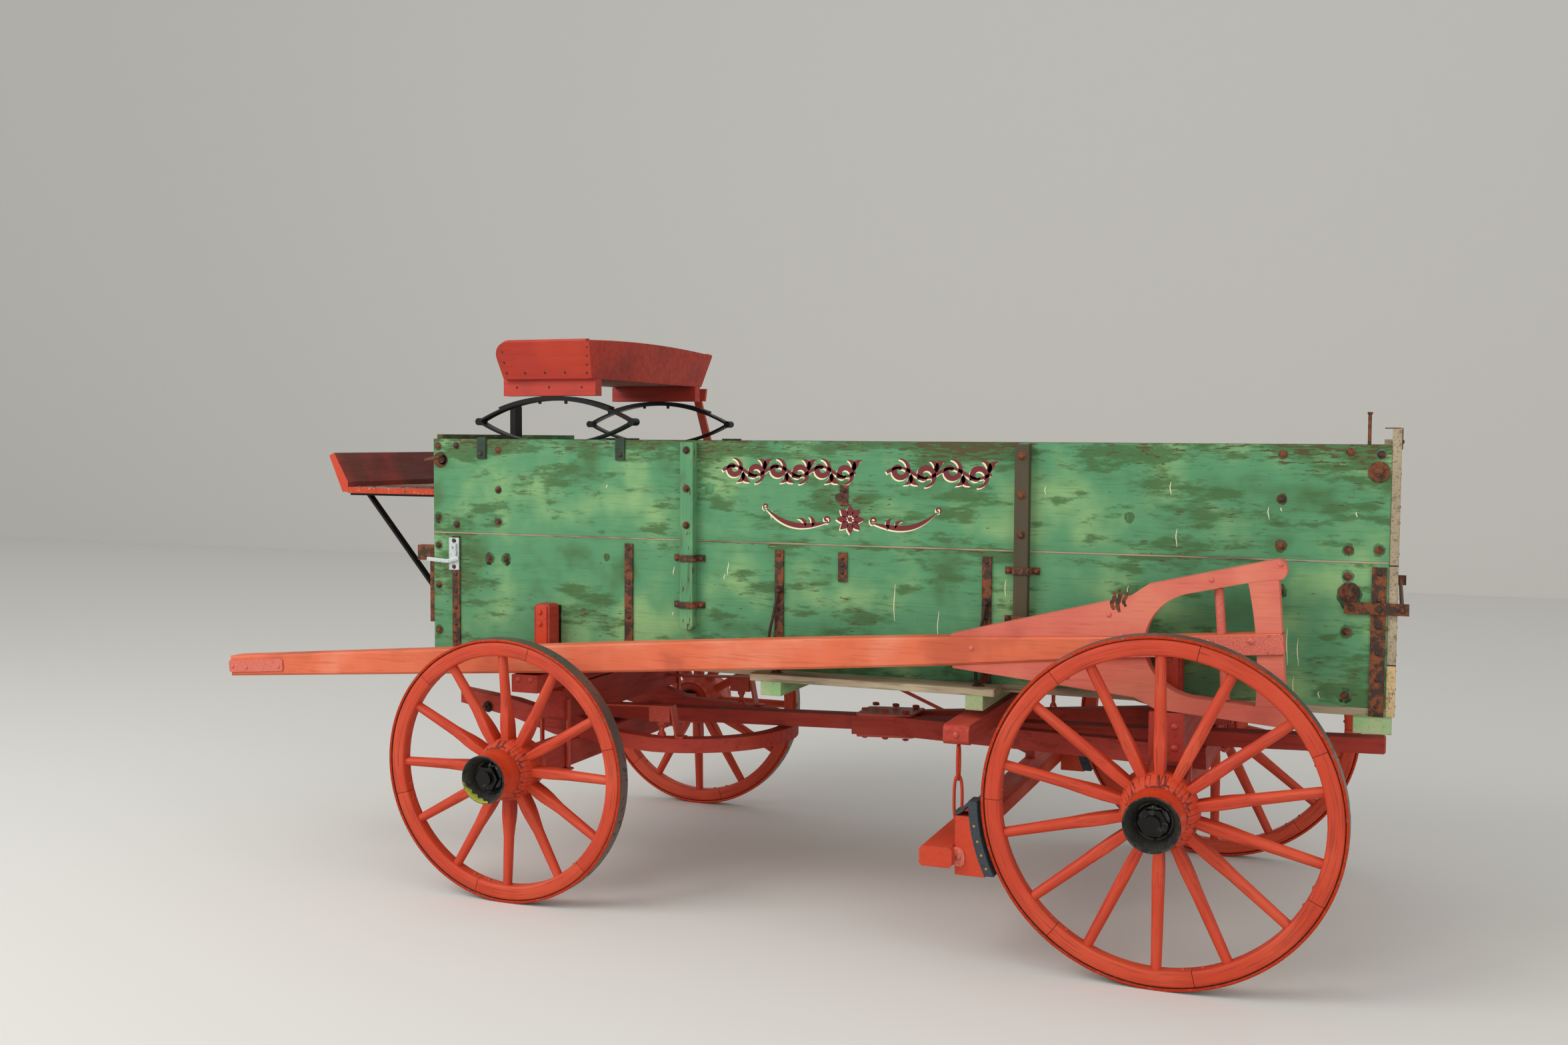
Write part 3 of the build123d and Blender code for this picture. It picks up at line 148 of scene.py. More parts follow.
class Coat:
    """A material being mixed: its node tree, the paints, and the place that its patterns follow."""

    def __init__(self, name, source="object"):
        self.material = bpy.data.materials.new(name)
        self.material.use_nodes = True
        self.tree = self.material.node_tree
        self.tree.nodes.clear()
        self.paint = bpy.context.scene.wagon_paints
        if source == "object":
            self.place = self.add("TexCoord").outputs["Object"]
        if source == "grain":
            self.place = self.add("Attribute", attribute_name="grain").outputs["Vector"]

    def add(self, kind, sockets=None, **settings):
        """Add one shader node, set its properties, and fill its sockets with values or links."""
        made = self.tree.nodes.new("ShaderNode" + kind)
        for key, value in settings.items():
            setattr(made, key, value)
        for key, value in (sockets or {}).items():
            if isinstance(value, bpy.types.NodeSocket):
                self.tree.links.new(value, made.inputs[key])
            else:
                made.inputs[key].default_value = value
        return made

    def noise(self, *scale, detail=3.0, **sockets):
        """Noise over the place: the scale is features per metre, one for all or for X, Y and Z."""
        scale = scale if len(scale) == 3 else scale * 3
        at = self.add("Mapping", {"Vector": self.place, "Scale": scale}).outputs[0]
        sockets |= {"Vector": at, "Scale": 1.0, "Detail": detail}
        return self.add("TexNoise", sockets).outputs[0]

    def ramp(self, value, low, high, top=1.0, base=0.0):
        """Smooth step from base to top as the value goes from low to high."""
        sockets = {"Value": value, "From Min": low, "From Max": high, "To Min": base, "To Max": top}
        return self.add("MapRange", sockets, interpolation_type="SMOOTHSTEP").outputs[0]

    def blend(self, share, first, second):
        """Mix two colours."""
        return self.add("Mix", {0: share, 6: first, 7: second}, data_type="RGBA").outputs[2]

    def math(self, first, second, operation="ADD"):
        """Arithmetic on two values."""
        return self.add("Math", {0: first, 1: second}, operation=operation).outputs[0]

    def along(self, axis):
        """The place along one axis."""
        return self.add("SeparateXYZ", {"Vector": self.place}).outputs[axis]

    def size(self, value):
        """A value without its sign."""
        return self.math(value, 0.0, "ABSOLUTE")

    def close(self, **sockets):
        """Join the shader to the output; an underscore in a socket's name stands for a space."""
        sockets = {key.replace("_", " "): value for key, value in sockets.items()}
        shader = self.add("BsdfPrincipled", sockets)
        self.add("OutputMaterial", {"Surface": shader.outputs[0]})
        return self.material


def painted_wood(name, coat, dark, light, bare, blotch, streak, chips, grain, gloss, edge,
                 along="X", extra=None, source="object"):
    """Oil paint brushed on sawn boards: the grain shows through, edges and high spots wear bare.

    Clouds are 250 mm across, brush streaks 250 mm by 18 mm, grain lines 4 mm apart, chips 12 mm across.
    """
    look = Coat(name, source)

    def stretched(long, short, **settings):
        return look.noise(*[long if axis == along else short for axis in "XYZ"], **settings)

    cloud = look.noise(4.0)
    lines = stretched(4.0, 55.0, Roughness=0.65)
    hairs = stretched(9.0, 260.0, detail=1.0)
    flakes = stretched(22.0, 85.0, Roughness=0.62)
    colour = look.blend(look.ramp(cloud, 0.46, 0.70, 1.1 * blotch), coat, light)
    colour = look.blend(look.ramp(cloud, 0.46, 0.30, 0.8 * blotch), colour, dark)
    if extra:
        colour = extra(look, colour)
    colour = look.blend(look.ramp(lines, 0.52, 0.68, streak), colour, dark)
    colour = look.blend(look.ramp(hairs, 0.56, 0.75, 0.6 * grain), colour, dark)
    chip = look.ramp(flakes, 0.74 - 0.09 * chips, 0.755 - 0.09 * chips)
    soft = look.add("Bevel", {"Radius": 0.0035}, samples=2).outputs[0]
    true = look.add("NewGeometry").outputs["Normal"]
    corner = look.add("VectorMath", {0: soft, 1: true}, operation="DOT_PRODUCT").outputs["Value"]
    worn = look.math(look.ramp(corner, 0.99, 0.86, edge), look.ramp(flakes, 0.40, 0.56), "MULTIPLY")
    wear = look.math(chip, worn, "MAXIMUM")
    relief = look.math(lines, wear, "SUBTRACT")
    relief = look.math(look.math(hairs, 0.5 * grain, "MULTIPLY"), relief)
    bump = {"Height": relief, "Strength": 0.35, "Distance": 0.0012, "Normal": soft}
    look.close(
        Base_Color=look.blend(wear, colour, bare),
        Roughness=look.ramp(lines, 0.3, 0.7, 0.95 - 0.35 * gloss, 0.85 - 0.5 * gloss),
        Normal=look.add("Bump", bump).outputs[0],
    )


def forged_iron(name, base, rust, amount, roughness, metallic, source="object", extra=None):
    """Hammered wrought iron: dull scale with rust blooms 10 to 30 mm across and a pitted skin."""
    look = Coat(name, source)
    bloom = look.noise(38.0, detail=4.0, Roughness=0.65)
    pits = look.noise(420.0, detail=1.0)
    mask = look.ramp(bloom, 0.66 - 0.3 * amount, 0.80 - 0.3 * amount)
    colour = look.blend(mask, base, rust)
    if extra:
        colour = extra(look, colour)
    pitted = {0: colour, "Scale": look.ramp(pits, 0.3, 0.7, 1.2, 0.7)}
    soft = look.add("Bevel", {"Radius": 0.0015}, samples=2).outputs[0]
    bump = {"Height": pits, "Strength": 0.3, "Distance": 0.0006, "Normal": soft}
    look.close(
        Base_Color=look.add("VectorMath", pitted, operation="SCALE").outputs[0],
        Roughness=look.ramp(mask, 0.0, 1.0, 0.9, roughness),
        Metallic=look.ramp(mask, 0.0, 1.0, 0.0, metallic) if metallic else 0.0,
        Normal=look.add("Bump", bump).outputs[0],
    )


def sign_paint(name, colour):
    """Sign painter's enamel: one even colour with a slight brush unevenness in its gloss."""
    look = Coat(name)
    brushed = look.noise(60.0, 60.0, 400.0, detail=2.0)
    look.close(Base_Color=colour, Roughness=look.ramp(brushed, 0.3, 0.7, 0.7, 0.35))


def box_wear(look, colour):
    """Wear of the box: olive stains in brushed clusters, brown scrapes, and a worn top edge.

    Stains are 140 mm by 37 mm, scrapes 45 mm by 8 mm; both gather where a 400 mm cloud is high.
    """
    top, seam = BOX_TOP * MM, SEAM * MM
    cluster = look.noise(2.6, 2.6, 4.0, detail=2.0)
    stain = look.noise(7.0, 7.0, 27.0, detail=5.0, Roughness=0.66)
    scrape = look.noise(20.0, 20.0, 125.0, Roughness=0.6)
    height = look.along("Z")
    top_edge = look.ramp(height, top - 0.11, top, 0.16)
    below_seam = look.ramp(height, seam + 0.0005, seam)
    seam_edge = look.math(look.ramp(height, seam - 0.03, seam, 0.10), below_seam, "MULTIPLY")
    pull = look.math(look.math(cluster, 0.55, "MULTIPLY"), look.math(top_edge, seam_edge))
    stain = look.math(stain, pull)
    patch = look.math(look.math(cluster, 0.5, "MULTIPLY"), stain)
    colour = look.blend(look.ramp(patch, 1.02, 1.20, 0.45), colour, look.paint.box_deep)
    colour = look.blend(look.ramp(stain, 0.80, 0.92, 0.75), colour, look.paint.box_deep)
    return look.blend(look.ramp(look.math(scrape, pull), 0.945, 0.975, 0.9), colour, look.paint.box_grime)


def hub_cracks(look, colour):
    """Drying cracks along the hub in front of the spokes: Voronoi cells 17 mm round it and 60 mm along."""
    cells_at = look.add("Mapping", {"Vector": look.place, "Scale": (17.0, 58.0, 0.0)}).outputs[0]
    cells = {"Vector": cells_at, "Scale": 1.0, "Randomness": 0.55}
    edge = look.add("TexVoronoi", cells, feature="DISTANCE_TO_EDGE").outputs[0]
    open_here = look.ramp(look.noise(22.0, detail=1.0), 0.36, 0.44)
    line = look.math(look.ramp(edge, 0.09, 0.03), open_here, "MULTIPLY")
    front = look.ramp(look.along("X"), -0.004, 0.002)
    return look.blend(look.math(line, front, "MULTIPLY"), colour, look.paint.gear_dark)


def red_ends(look, colour):
    """Bright red paint on the sawn ends of boards that lie across the wagon."""
    return look.blend(look.ramp(look.size(look.along("Y")), 0.4792, 0.4797), colour, look.paint.wheel_red)


def bare_rear_stake(look, colour):
    """Dark brown wood on the rear stake of each side, which has lost its paint."""
    return look.blend(look.ramp(look.along("X"), 0.50, 0.51, 0.92), colour, look.paint.oak_brown)


def gate_boards(look, colour):
    """Boards of the gate: a pale new one at the bottom, and dark gaps between the three."""
    height = look.along("Z")
    saw = look.ramp(look.noise(60.0, 260.0, 30.0, detail=2.0), 0.4, 0.7, 0.35)
    new = look.blend(saw, look.paint.new_pine, look.paint.bare_wood)
    colour = look.blend(look.ramp(height, 0.9262, 0.9258), colour, new)
    for gap in (0.926, 1.210):
        off = look.size(look.math(height, gap, "SUBTRACT"))
        colour = look.blend(look.ramp(off, 0.0026, 0.0016), colour, look.paint.black_iron)
    return colour


def painted_sides(look, colour):
    """Red paint that overlaps the tyre's two side faces and is rubbed off the tread."""
    side = look.ramp(look.size(look.along("Y")), 0.0232, 0.0246)
    ragged = look.ramp(look.noise(60.0, detail=2.0), 0.72, 0.62)
    return look.blend(look.math(side, ragged, "MULTIPLY"), colour, look.paint.wheel_red)


RUSTY, BROWN, BLACK = "Rusty forged iron", "Brown scaled iron", "Blacked iron"
RED, WHEEL_RED, SALMON = "Red painted iron", "Wheel red iron", "Salmon painted iron"
MAROON, CREAM = "Sign maroon paint", "Sign cream paint"
PAD, PINE, STAIN = "Brake pad rubber", "Weathered bare pine", "Rust stained paint"
RIM_ENAMEL, HUB_ENAMEL, STEEL = "Wheel red enamel", "Hub cracked enamel", "Rubbed tyre steel"
SILVER, SOOT, BRASS = "Silver painted iron", "Sooty nose iron", "Brass screws"
GREASE, LICHEN = "Wet grease", "Lichen crust"
ENAMEL_COLOURS = "wheel_red wheel_dark wheel_light bare_wood"
GEAR_COLOURS = "gear_red gear_dark gear_light bare_wood"
PINE_COLOURS = "bare_wood bare_dark bare_light bare_light"

WOODS = (
    # finish; its coat, shade, light and bare wood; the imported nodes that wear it;
    # blotch, streak, chips, grain, gloss, worn edge; the way the boards run, and what lies on top
    ("Box green paint", "box_green box_deep box_chalk box_brown",
     "box_side_left box_side_right front_board", 0.95, 0.18, 0.25, 0.6, 0.35, 0.9, "X", box_wear),
    ("Sill green paint", "box_chalk box_green bare_light bare_wood", "cross_sills",
     0.5, 0.4, 0.9, 0.6, 0.3, 0.9, "Y"),
    (RIM_ENAMEL, ENAMEL_COLOURS, "", 0.35, 0.32, -0.3, 1.15, 0.7, 0.0, "X", None, "grain"),
    (HUB_ENAMEL, ENAMEL_COLOURS, "", 0.3, 0.15, -0.4, 0.6, 0.7, 0.0, "X", hub_cracks, "grain"),
    ("Gear red enamel", GEAR_COLOURS, "front_hounds rear_hounds reach", 0.5, 0.35, -0.2, 0.6, 0.55, 0.35),
    ("Gear red enamel across", GEAR_COLOURS,
     "front_axle rear_axle front_bolster rear_bolster sand_board brake_bar",
     0.5, 0.35, -0.2, 0.6, 0.55, 0.35, "Y"),
    ("Tongue salmon enamel", "tongue_red wheel_dark tongue_light bare_wood", "tongue_pole",
     0.5, 0.10, -0.1, 0.4, 0.5, 0.45),
    ("Hound faded enamel", "hound_red wheel_dark tongue_light bare_wood", "tongue_hounds tongue_post",
     0.4, 0.08, 0.0, 0.3, 0.35, 0.55),
    ("Beam orange enamel", ENAMEL_COLOURS, "brake_beam shoe_holders", 0.5, 0.12, 0.0, 0.5, 0.5, 0.5, "Y"),
    ("Seat red enamel", "seat_red gear_dark wheel_red bare_wood", "seat_box seat_risers",
     0.5, 0.12, -0.2, 0.3, 0.85, 0.15),
    ("Toe board maroon enamel", "toe_maroon gear_dark gear_red bare_wood", "toe_board",
     0.5, 0.2, -0.1, 0.6, 0.6, 0.4, "Y", red_ends),
    ("Footworn red boards", "toe_maroon bare_dark bare_wood bare_wood", "footboard",
     0.9, 0.4, 1.2, 1.3, 0.2, 0.9, "Y", red_ends),
    (PINE, PINE_COLOURS, "box_floor step_plank", 0.5, 0.6, 0.0, 1.3, 0.1, 0.3),
    ("Gate boards", PINE_COLOURS, "rear_gate", 0.5, 0.6, 0.0, 1.3, 0.1, 0.3, "Y", gate_boards),
    ("Worn green stake paint", "box_green box_grime box_chalk box_grime", "box_stakes",
     0.6, 0.5, 1.2, 0.6, 0.3, 1.0, "Z", bare_rear_stake),
    (STAIN, "box_deep box_grime box_green box_grime", "", 1.2, 0.7, 0.8, 0.6, 0.2, 0.0, "Z"),
    ("Rail dark green paint", "rail_green black_iron box_deep box_brown", "seat_rails",
     0.5, 0.4, 0.5, 0.6, 0.3, 0.8),
)
IRONS = (
    # finish; its base and rust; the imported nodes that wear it; amount of rust, roughness, metallic
    (RUSTY, "old_iron rust", "strap_irons gate_keepers cross_rods front_irons", 0.75, 0.6, 0.6),
    (BROWN, "old_iron rust", "king_bolt", 0.35, 0.6, 0.6),
    (BLACK, "black_iron old_iron", "seat_springs footboard_braces front_post", 0.1, 0.45, 0.6),
    ("Greased nose iron", "black_iron grease", "front_axle_arms rear_axle_arms", 0.25, 0.25, 0.6),
    (STEEL, "tyre_steel old_iron", "", 0.45, 0.42, 0.75, "grain", painted_sides),
    (PAD, "pad black_iron", "brake_shoes", 0.3, 0.55, 0),
    (RED, "gear_light gear_dark", "bow_irons brake_lever reach_plates", 0.15, 0.45, 0),
    (WHEEL_RED, "wheel_red wheel_dark", "", 0.25, 0.42, 0),
    (SALMON, "hound_red rust", "tongue_irons", 0.15, 0.5, 0),
    (SILVER, "silver rust", "", 0.25, 0.4, 0.3),
    (SOOT, "grease black_iron", "", 0.75, 0.5, 0.6),
    (BRASS, "brass old_iron", "", 0.2, 0.35, 0.8),
    (GREASE, "black_iron grease", "", 0.0, 0.14, 0.1),
    (LICHEN, "lichen grease", "", 0.4, 0.9, 0),
)


def finishes():
    """The wagon's materials by plain name, made once."""
    if RUSTY not in bpy.data.materials:
        paint = bpy.context.scene.wagon_paints
        for mixed, rows in ((painted_wood, WOODS), (forged_iron, IRONS)):
            for name, colours, _, *surface in rows:
                mixed(name, *[getattr(paint, colour) for colour in colours.split()], *surface)
        sign_paint(MAROON, paint.sign_maroon)
        sign_paint(CREAM, paint.sign_cream)
    return bpy.data.materials


def unit(vectors):
    """Scale vectors to length one."""
    vectors = np.asarray(vectors, float)
    return vectors / np.linalg.norm(vectors, axis=-1, keepdims=True)


def full_turn(count):
    """Angles evenly round a circle."""
    return linspace(0, 2 * pi, count, endpoint=False)


def ring(half_x, half_y, count=16, power=2.0):
    """Closed outline |x/a|^n + |y/b|^n = 1: an ellipse at power 2, nearly a rectangle at power 8."""
    angle = full_turn(count) + pi / count
    cosine, sine = cos(angle), sin(angle)
    across = np.sign(cosine) * abs(cosine) ** (2 / power)
    along = np.sign(sine) * abs(sine) ** (2 / power)
    return stack([half_x * across, half_y * along], -1)


def skin(rings, closed=False):
    """Triangles over rings of points (sections, points, 3), facing outwards.

    Open rings get a fan over each end; closed ones join the last section to the first.
    """
    sections, points = rings.shape[:2]
    index = np.arange(sections * points).reshape(sections, points)
    low, high = (index, np.roll(index, -1, 0)) if closed else (index[:-1], index[1:])
    next_low, next_high = np.roll(low, -1, 1), np.roll(high, -1, 1)
    faces = [stack([low, next_low, next_high], -1), stack([low, next_high, high], -1)]
    places = rings.reshape(-1, 3)
    if not closed:
        first, last = index[0], index[-1]
        middle = sections * points
        places = concatenate([places, rings[:1].mean(1), rings[-1:].mean(1)])
        faces.append(stack([np.full(points, middle), np.roll(first, -1), first], -1))
        faces.append(stack([np.full(points, middle + 1), last, np.roll(last, -1)], -1))
    faces = concatenate([part.reshape(-1, 3) for part in faces])
    corners = places[faces] - places.mean(0)
    volume = np.einsum("ij,ij->i", corners[:, 0], np.cross(corners[:, 1], corners[:, 2])).sum()
    return places, faces if volume > 0 else faces[:, ::-1]


def grained(rings, grain, closed=False):
    """A skin with a third part: where each of its points lies in the grain of the wood."""
    return *skin(rings, closed), skin(grain, closed)[0]


def carried(path, profile, up=UP):
    """Carry closed profiles (points, 2) along a path: x runs across, y towards the up hint."""
    path = np.asarray(path, float)
    heading = unit(np.gradient(path, axis=0))
    across = unit(np.cross(heading, up))
    above = np.cross(across, heading)
    profile = np.broadcast_to(profile, (len(path), *np.shape(profile)[-2:]))
    return skin(path[:, None] + profile[..., :1] * across[:, None] + profile[..., 1:] * above[:, None])


def turned(profile, origin, axis, count=24):
    """Revolve (radius, height) points about an axis."""
    profile = np.asarray(profile, float)
    axis = unit(axis)
    side = unit(np.cross(axis, UP if abs(axis[2]) < 0.9 else (1, 0, 0)))
    angle = full_turn(count)[:, None]
    rays = cos(angle) * side + sin(angle) * np.cross(axis, side)
    return skin(np.asarray(origin) + profile[:, None, :1] * rays + profile[:, None, 1:] * axis)


def slab(low, high, edge=1.5):
    """A block between two corners, its four long edges left sharp and its two ends eased."""
    low, high = np.minimum(low, high), np.maximum(low, high)
    size = high - low
    main = int(np.argmax(size))
    heights = array([0, edge, size[main] - edge, size[main]])
    shrink = array([edge, 0, 0, edge])[:, None]
    rings = np.zeros((4, 4, 3))
    rings[..., main] = low[main] + heights[:, None]
    first, second = [i for i in range(3) if i != main]
    for axis, corner in ((first, (-1, 1, 1, -1)), (second, (-1, -1, 1, 1))):
        rings[..., axis] = (low[axis] + high[axis]) / 2 + array(corner) * (size[axis] / 2 - shrink)
    return skin(rings)


def copies(shape, offsets):
    """The same shape moved to several places."""
    places, faces = shape
    offsets = np.atleast_2d(offsets)
    starts = np.arange(len(offsets)) * len(places)
    moved = places[None] + offsets[:, None]
    return moved.reshape(-1, 3), (faces[None] + starts[:, None, None]).reshape(-1, 3)


def joined(shapes):
    """Several shapes as one."""
    places, faces, *grains = zip(*shapes)
    starts = np.cumsum([0] + [len(part) for part in places[:-1]])
    faces = [part + start for part, start in zip(faces, starts)]
    return tuple(concatenate(part) for part in (places, faces, *grains))


def both_sides(*shapes):
    """Shapes and their twins on the other side of the wagon, as one."""
    places, faces = joined(shapes)
    return joined([(places, faces), (places * (1, -1, 1), faces[:, ::-1])])


def put(name, shape, finish, slot="worn_iron", body="wagon", replaces="", sharp=35):
    """Make the object for a shape, turned from millimetres into metres, and let it ride on its body."""
    places, faces, *grain = shape
    mesh = bpy.data.meshes.new(name)
    mesh.vertices.add(len(places))
    mesh.vertices.foreach_set("co", np.asarray(places * MM, np.float32).ravel())
    mesh.loops.add(faces.size)
    mesh.loops.foreach_set("vertex_index", faces.astype(np.int32).ravel())
    mesh.polygons.add(len(faces))
    mesh.polygons.foreach_set("loop_start", np.arange(0, faces.size, 3, dtype=np.int32))
    mesh.update(calc_edges=True)
    if grain:
        layer = mesh.attributes.new("grain", "FLOAT_VECTOR", "POINT")
        layer.data.foreach_set("vector", np.asarray(grain[0] * MM, np.float32).ravel())
    mesh.shade_smooth()
    mesh.set_sharp_from_angle(angle=math.radians(sharp))
    mesh.materials.append(finishes()[finish])
    piece = bpy.data.objects.new(name, mesh)
    bpy.context.scene.collection.objects.link(piece)
    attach(piece, body)
    if replaces:
        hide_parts(replaces)


def on_side(back, height, out=0.0):
    """Points on the left face of the box, or out from it."""
    places = np.broadcast_arrays(np.add(BOX_FRONT, back), np.subtract(BOX_FACE, out), height)
    return stack(places, -1)


def grid(x, y, z):
    """Points at every combination of places along the three axes."""
    return stack(np.meshgrid(x, y, z, indexing="ij"), -1).reshape(-1, 3)


def studs(points, normal, profile, count):
    """The same small turned shape at several places."""
    return copies(turned(profile, (0, 0, 0), normal, count), points)


def domes(points, normal, radius=8, height=5, count=14):
    """Rounded bolt heads: the radius falls with the square root towards the crown."""
    rise = array([0, 0.35, 0.7, 0.92, 1.0])
    girth = array([1.0, 0.95, 0.72, 0.4, 0.12])
    return studs(points, normal, stack([radius * girth, height * rise], -1), count)


def nuts(points, normal, radius=11, height=8, sides=4):
    """Square or hexagon nuts with a slightly domed top."""
    return studs(points, normal, [[radius, 0], [radius, 0.8 * height], [0.8 * radius, height]], sides)


def washers(points, normal, radius, height):
    """Thin round washers."""
    return studs(points, normal, [[radius, 0], [radius, 0.6 * height], [0.94 * radius, height]], 24)


def bar_path(corners, bend=6, steps=4):
    """A path through corners with each bend rounded by a quadratic curve."""
    corners = np.asarray(corners, float)
    pieces = [corners[:1]]
    share = linspace(0, 1, steps + 1)[:, None]
    for before, corner, after in zip(corners[:-2], corners[1:-1], corners[2:]):
        start = corner + (before - corner) * min(0.45, bend / np.linalg.norm(before - corner))
        end = corner + (after - corner) * min(0.45, bend / np.linalg.norm(after - corner))
        pieces.append((1 - share) ** 2 * start + 2 * share * (1 - share) * corner + share**2 * end)
    return concatenate([*pieces, corners[-1:]])


TYRE_THICK = 9
TYRE_HALF = 25.5
FELLOE_DEPTH = 49
CONE = math.tan(math.radians(1.9))
DISH = 28
HUB_BACK = 120
HUB_FRONT = 75
HUB_BAND = 28


class Wheel:
    """Centre, directions and sizes of one wheel, from the joint that it turns on."""

    def __init__(self, name, radius, spokes, swell):
        joint = next(j for j in frame["joints"] if j["name"] == f"{name}_wheel_spin")
        self.name, self.radius, self.spokes, self.swell = name, radius, spokes, swell
        self.body = f"wheel_{name}"
        self.carrier = "front_gear" if "front" in name else "wagon"
        self.centre = array(joint["pos_m"], float) / MM
        self.axis = unit(joint["axis"])
        self.ahead = array([-np.sign(self.axis[1]), 0.0, 0.0])
        self.up = np.cross(self.axis, self.ahead)
        self.rim_middle = radius - TYRE_THICK - FELLOE_DEPTH / 2
        self.rim_inner = radius - TYRE_THICK - FELLOE_DEPTH
        self.step = 2 * pi / spokes
        self.joints = [pi / 2 + (2 * k - 0.5) * self.step for k in range(spokes // 2)]

    def at(self, radius, angle, offset):
        """Points at a radius and angle, moved outboard along the axis by an offset."""
        radius, angle, offset = np.broadcast_arrays(radius, angle, offset)
        ray = cos(angle)[..., None] * self.ahead + sin(angle)[..., None] * self.up
        return self.centre + radius[..., None] * ray + offset[..., None] * self.axis

    def turning(self, profile, count=56, ripple=0.0):
        """A closed profile of (radius, offset) revolved about the axis, its offsets rippled if asked."""
        profile = array(profile)
        return skin(self.at(profile[:, :1], full_turn(count), profile[:, 1:] + ripple), closed=True)


def felloes(wheel):
    """Rim segments, each carrying two spokes: a rounded section swept through its share of the circle."""
    middle = wheel.rim_middle
    radial, axial = ring(FELLOE_DEPTH / 2, TYRE_HALF - 0.5, 24, 5.5).T
    gap = 0.7 / middle
    parts = []
    for k, start in enumerate(wheel.joints):
        angle = linspace(start + gap, start + 2 * wheel.step - gap, 15)[:, None]
        grain = stack(np.broadcast_arrays(angle * middle, axial + 3700 * k, radial), -1)
        parts.append(grained(wheel.at(middle + radial - axial * CONE, angle, axial), grain))
    return joined(parts)


def spokes(wheel):
    """Spokes: a superellipse section that goes from a deep wedge at the hub to a round at the rim."""
    share = array([0, 0.10, 0.18, 0.25, 0.30, 0.35, 0.40, 0.46, 0.55, 0.7, 0.85, 0.97, 1.0])
    wide = interp(share, [0, 0.18, 0.32, 0.46, 0.9, 1], [13.5, 16.5, 17.5, 17.5, 15.5, 15])
    deep = interp(share, [0, 0.18, 0.35, 0.46, 0.9, 1], [29, 27, 20, 18.5, 16.5, 16])
    power = interp(share, [0, 0.25, 0.36, 0.46], [9, 7, 3.4, 2.0])
    sections = stack([ring(w, d, 20, p) for w, d, p in zip(wide, deep, power)])
    foot, head = wheel.swell - 16, wheel.rim_inner + 6
    radius = foot + share * (head - foot)
    length = np.broadcast_to(radius[:, None], sections.shape[:2])
    parts = []
    for k in range(wheel.spokes):
        angle = pi / 2 + wheel.step * k
        tangent = cos(angle) * wheel.up - sin(angle) * wheel.ahead
        path = wheel.at(radius, angle, -DISH * (1 - share))
        depth = np.cross(unit(path[-1] - path[0]), tangent)
        rings = path[:, None] + sections[..., :1] * tangent + sections[..., 1:] * depth
        grain = stack([length + 1300 * k, sections[..., 0] + 2100 * k, sections[..., 1]], -1)
        parts.append(grained(rings, grain))
    return joined(parts)


def hub_barrel(wheel):
    """Hub: r(o) = swell minus the square of the distance from the spokes, with grooves and a bore."""
    back, front = HUB_BAND - HUB_BACK, HUB_FRONT - HUB_BAND
    offset = concatenate([[-HUB_BACK, back], linspace(back + 1, front - 1, 40), [front, HUB_FRONT]])
    far = np.where(offset > -DISH, front + DISH, -back - DISH)
    end = np.where(offset > -DISH, 86, 84)
    radius = wheel.swell - (wheel.swell - end) * ((offset + DISH) / far) ** 2
    for groove in (-62, 9, 31):
        radius -= 1.6 * np.exp(-(((offset - groove) / 2) ** 2))
    radius[:2] = 76
    radius[-2:] = 78
    bore = [[34, HUB_FRONT], [37, -HUB_BACK]]
    radius, offset = concatenate([stack([radius, offset], -1), bore]).T[..., None]
    angle = full_turn(72)
    grain = stack(np.broadcast_arrays(offset, angle * wheel.swell, radius), -1)
    return grained(wheel.at(radius, angle, offset), grain, closed=True)


def tyre(wheel):
    """Tyre: a flat bar rolled to a ring, its tread coned by the wheel's lean, its corners worn round."""
    radial, axial = ring(TYRE_THICK / 2, TYRE_HALF, 24, 9).T
    middle = wheel.radius - TYRE_THICK / 2
    angle = full_turn(144)[:, None]
    grain = stack(np.broadcast_arrays(angle * middle, axial, radial), -1)
    return grained(wheel.at(middle + radial - axial * CONE, angle, axial), grain, closed=True)


def nose_shell(wheel):
    """Painted outside of the nose: a band on the hub, a waist, and a slight flare to the lip."""
    return wheel.turning([
        [78.5, 47.5], [84.5, 47.5], [85, 60], [84.6, 75], [81, 86], [79, 100], [78.5, 120], [80, 133],
        [79.5, 136], [76, 136], [74, 120], [74, 88], [77, 75],
    ])


def nose_funnel(wheel):
    """Blackened inside of the nose: a rounded lip and a funnel down to the nut."""
    return wheel.turning([
        [79.8, 134], [80.2, 136], [78.6, 137.5], [75.6, 137], [72.5, 132.5], [66, 118], [60, 104],
        [56, 94], [53, 90], [36, 89], [34, 80], [73, 80], [75, 100], [76, 130],
    ])


def grease(wheel):
    """Black grease round the axle nut: a ring whose height ripples with five and nine waves."""
    angle = full_turn(48)
    loose = array([[0], [0], [1], [1], [1], [0]])
    ripple = 1.6 * loose * (sin(5 * angle) + 0.6 * sin(9 * angle + 1))
    return wheel.turning([[28, 90.6], [49, 91], [47, 95], [40, 98.5], [32, 100], [26, 99]], 48, ripple)


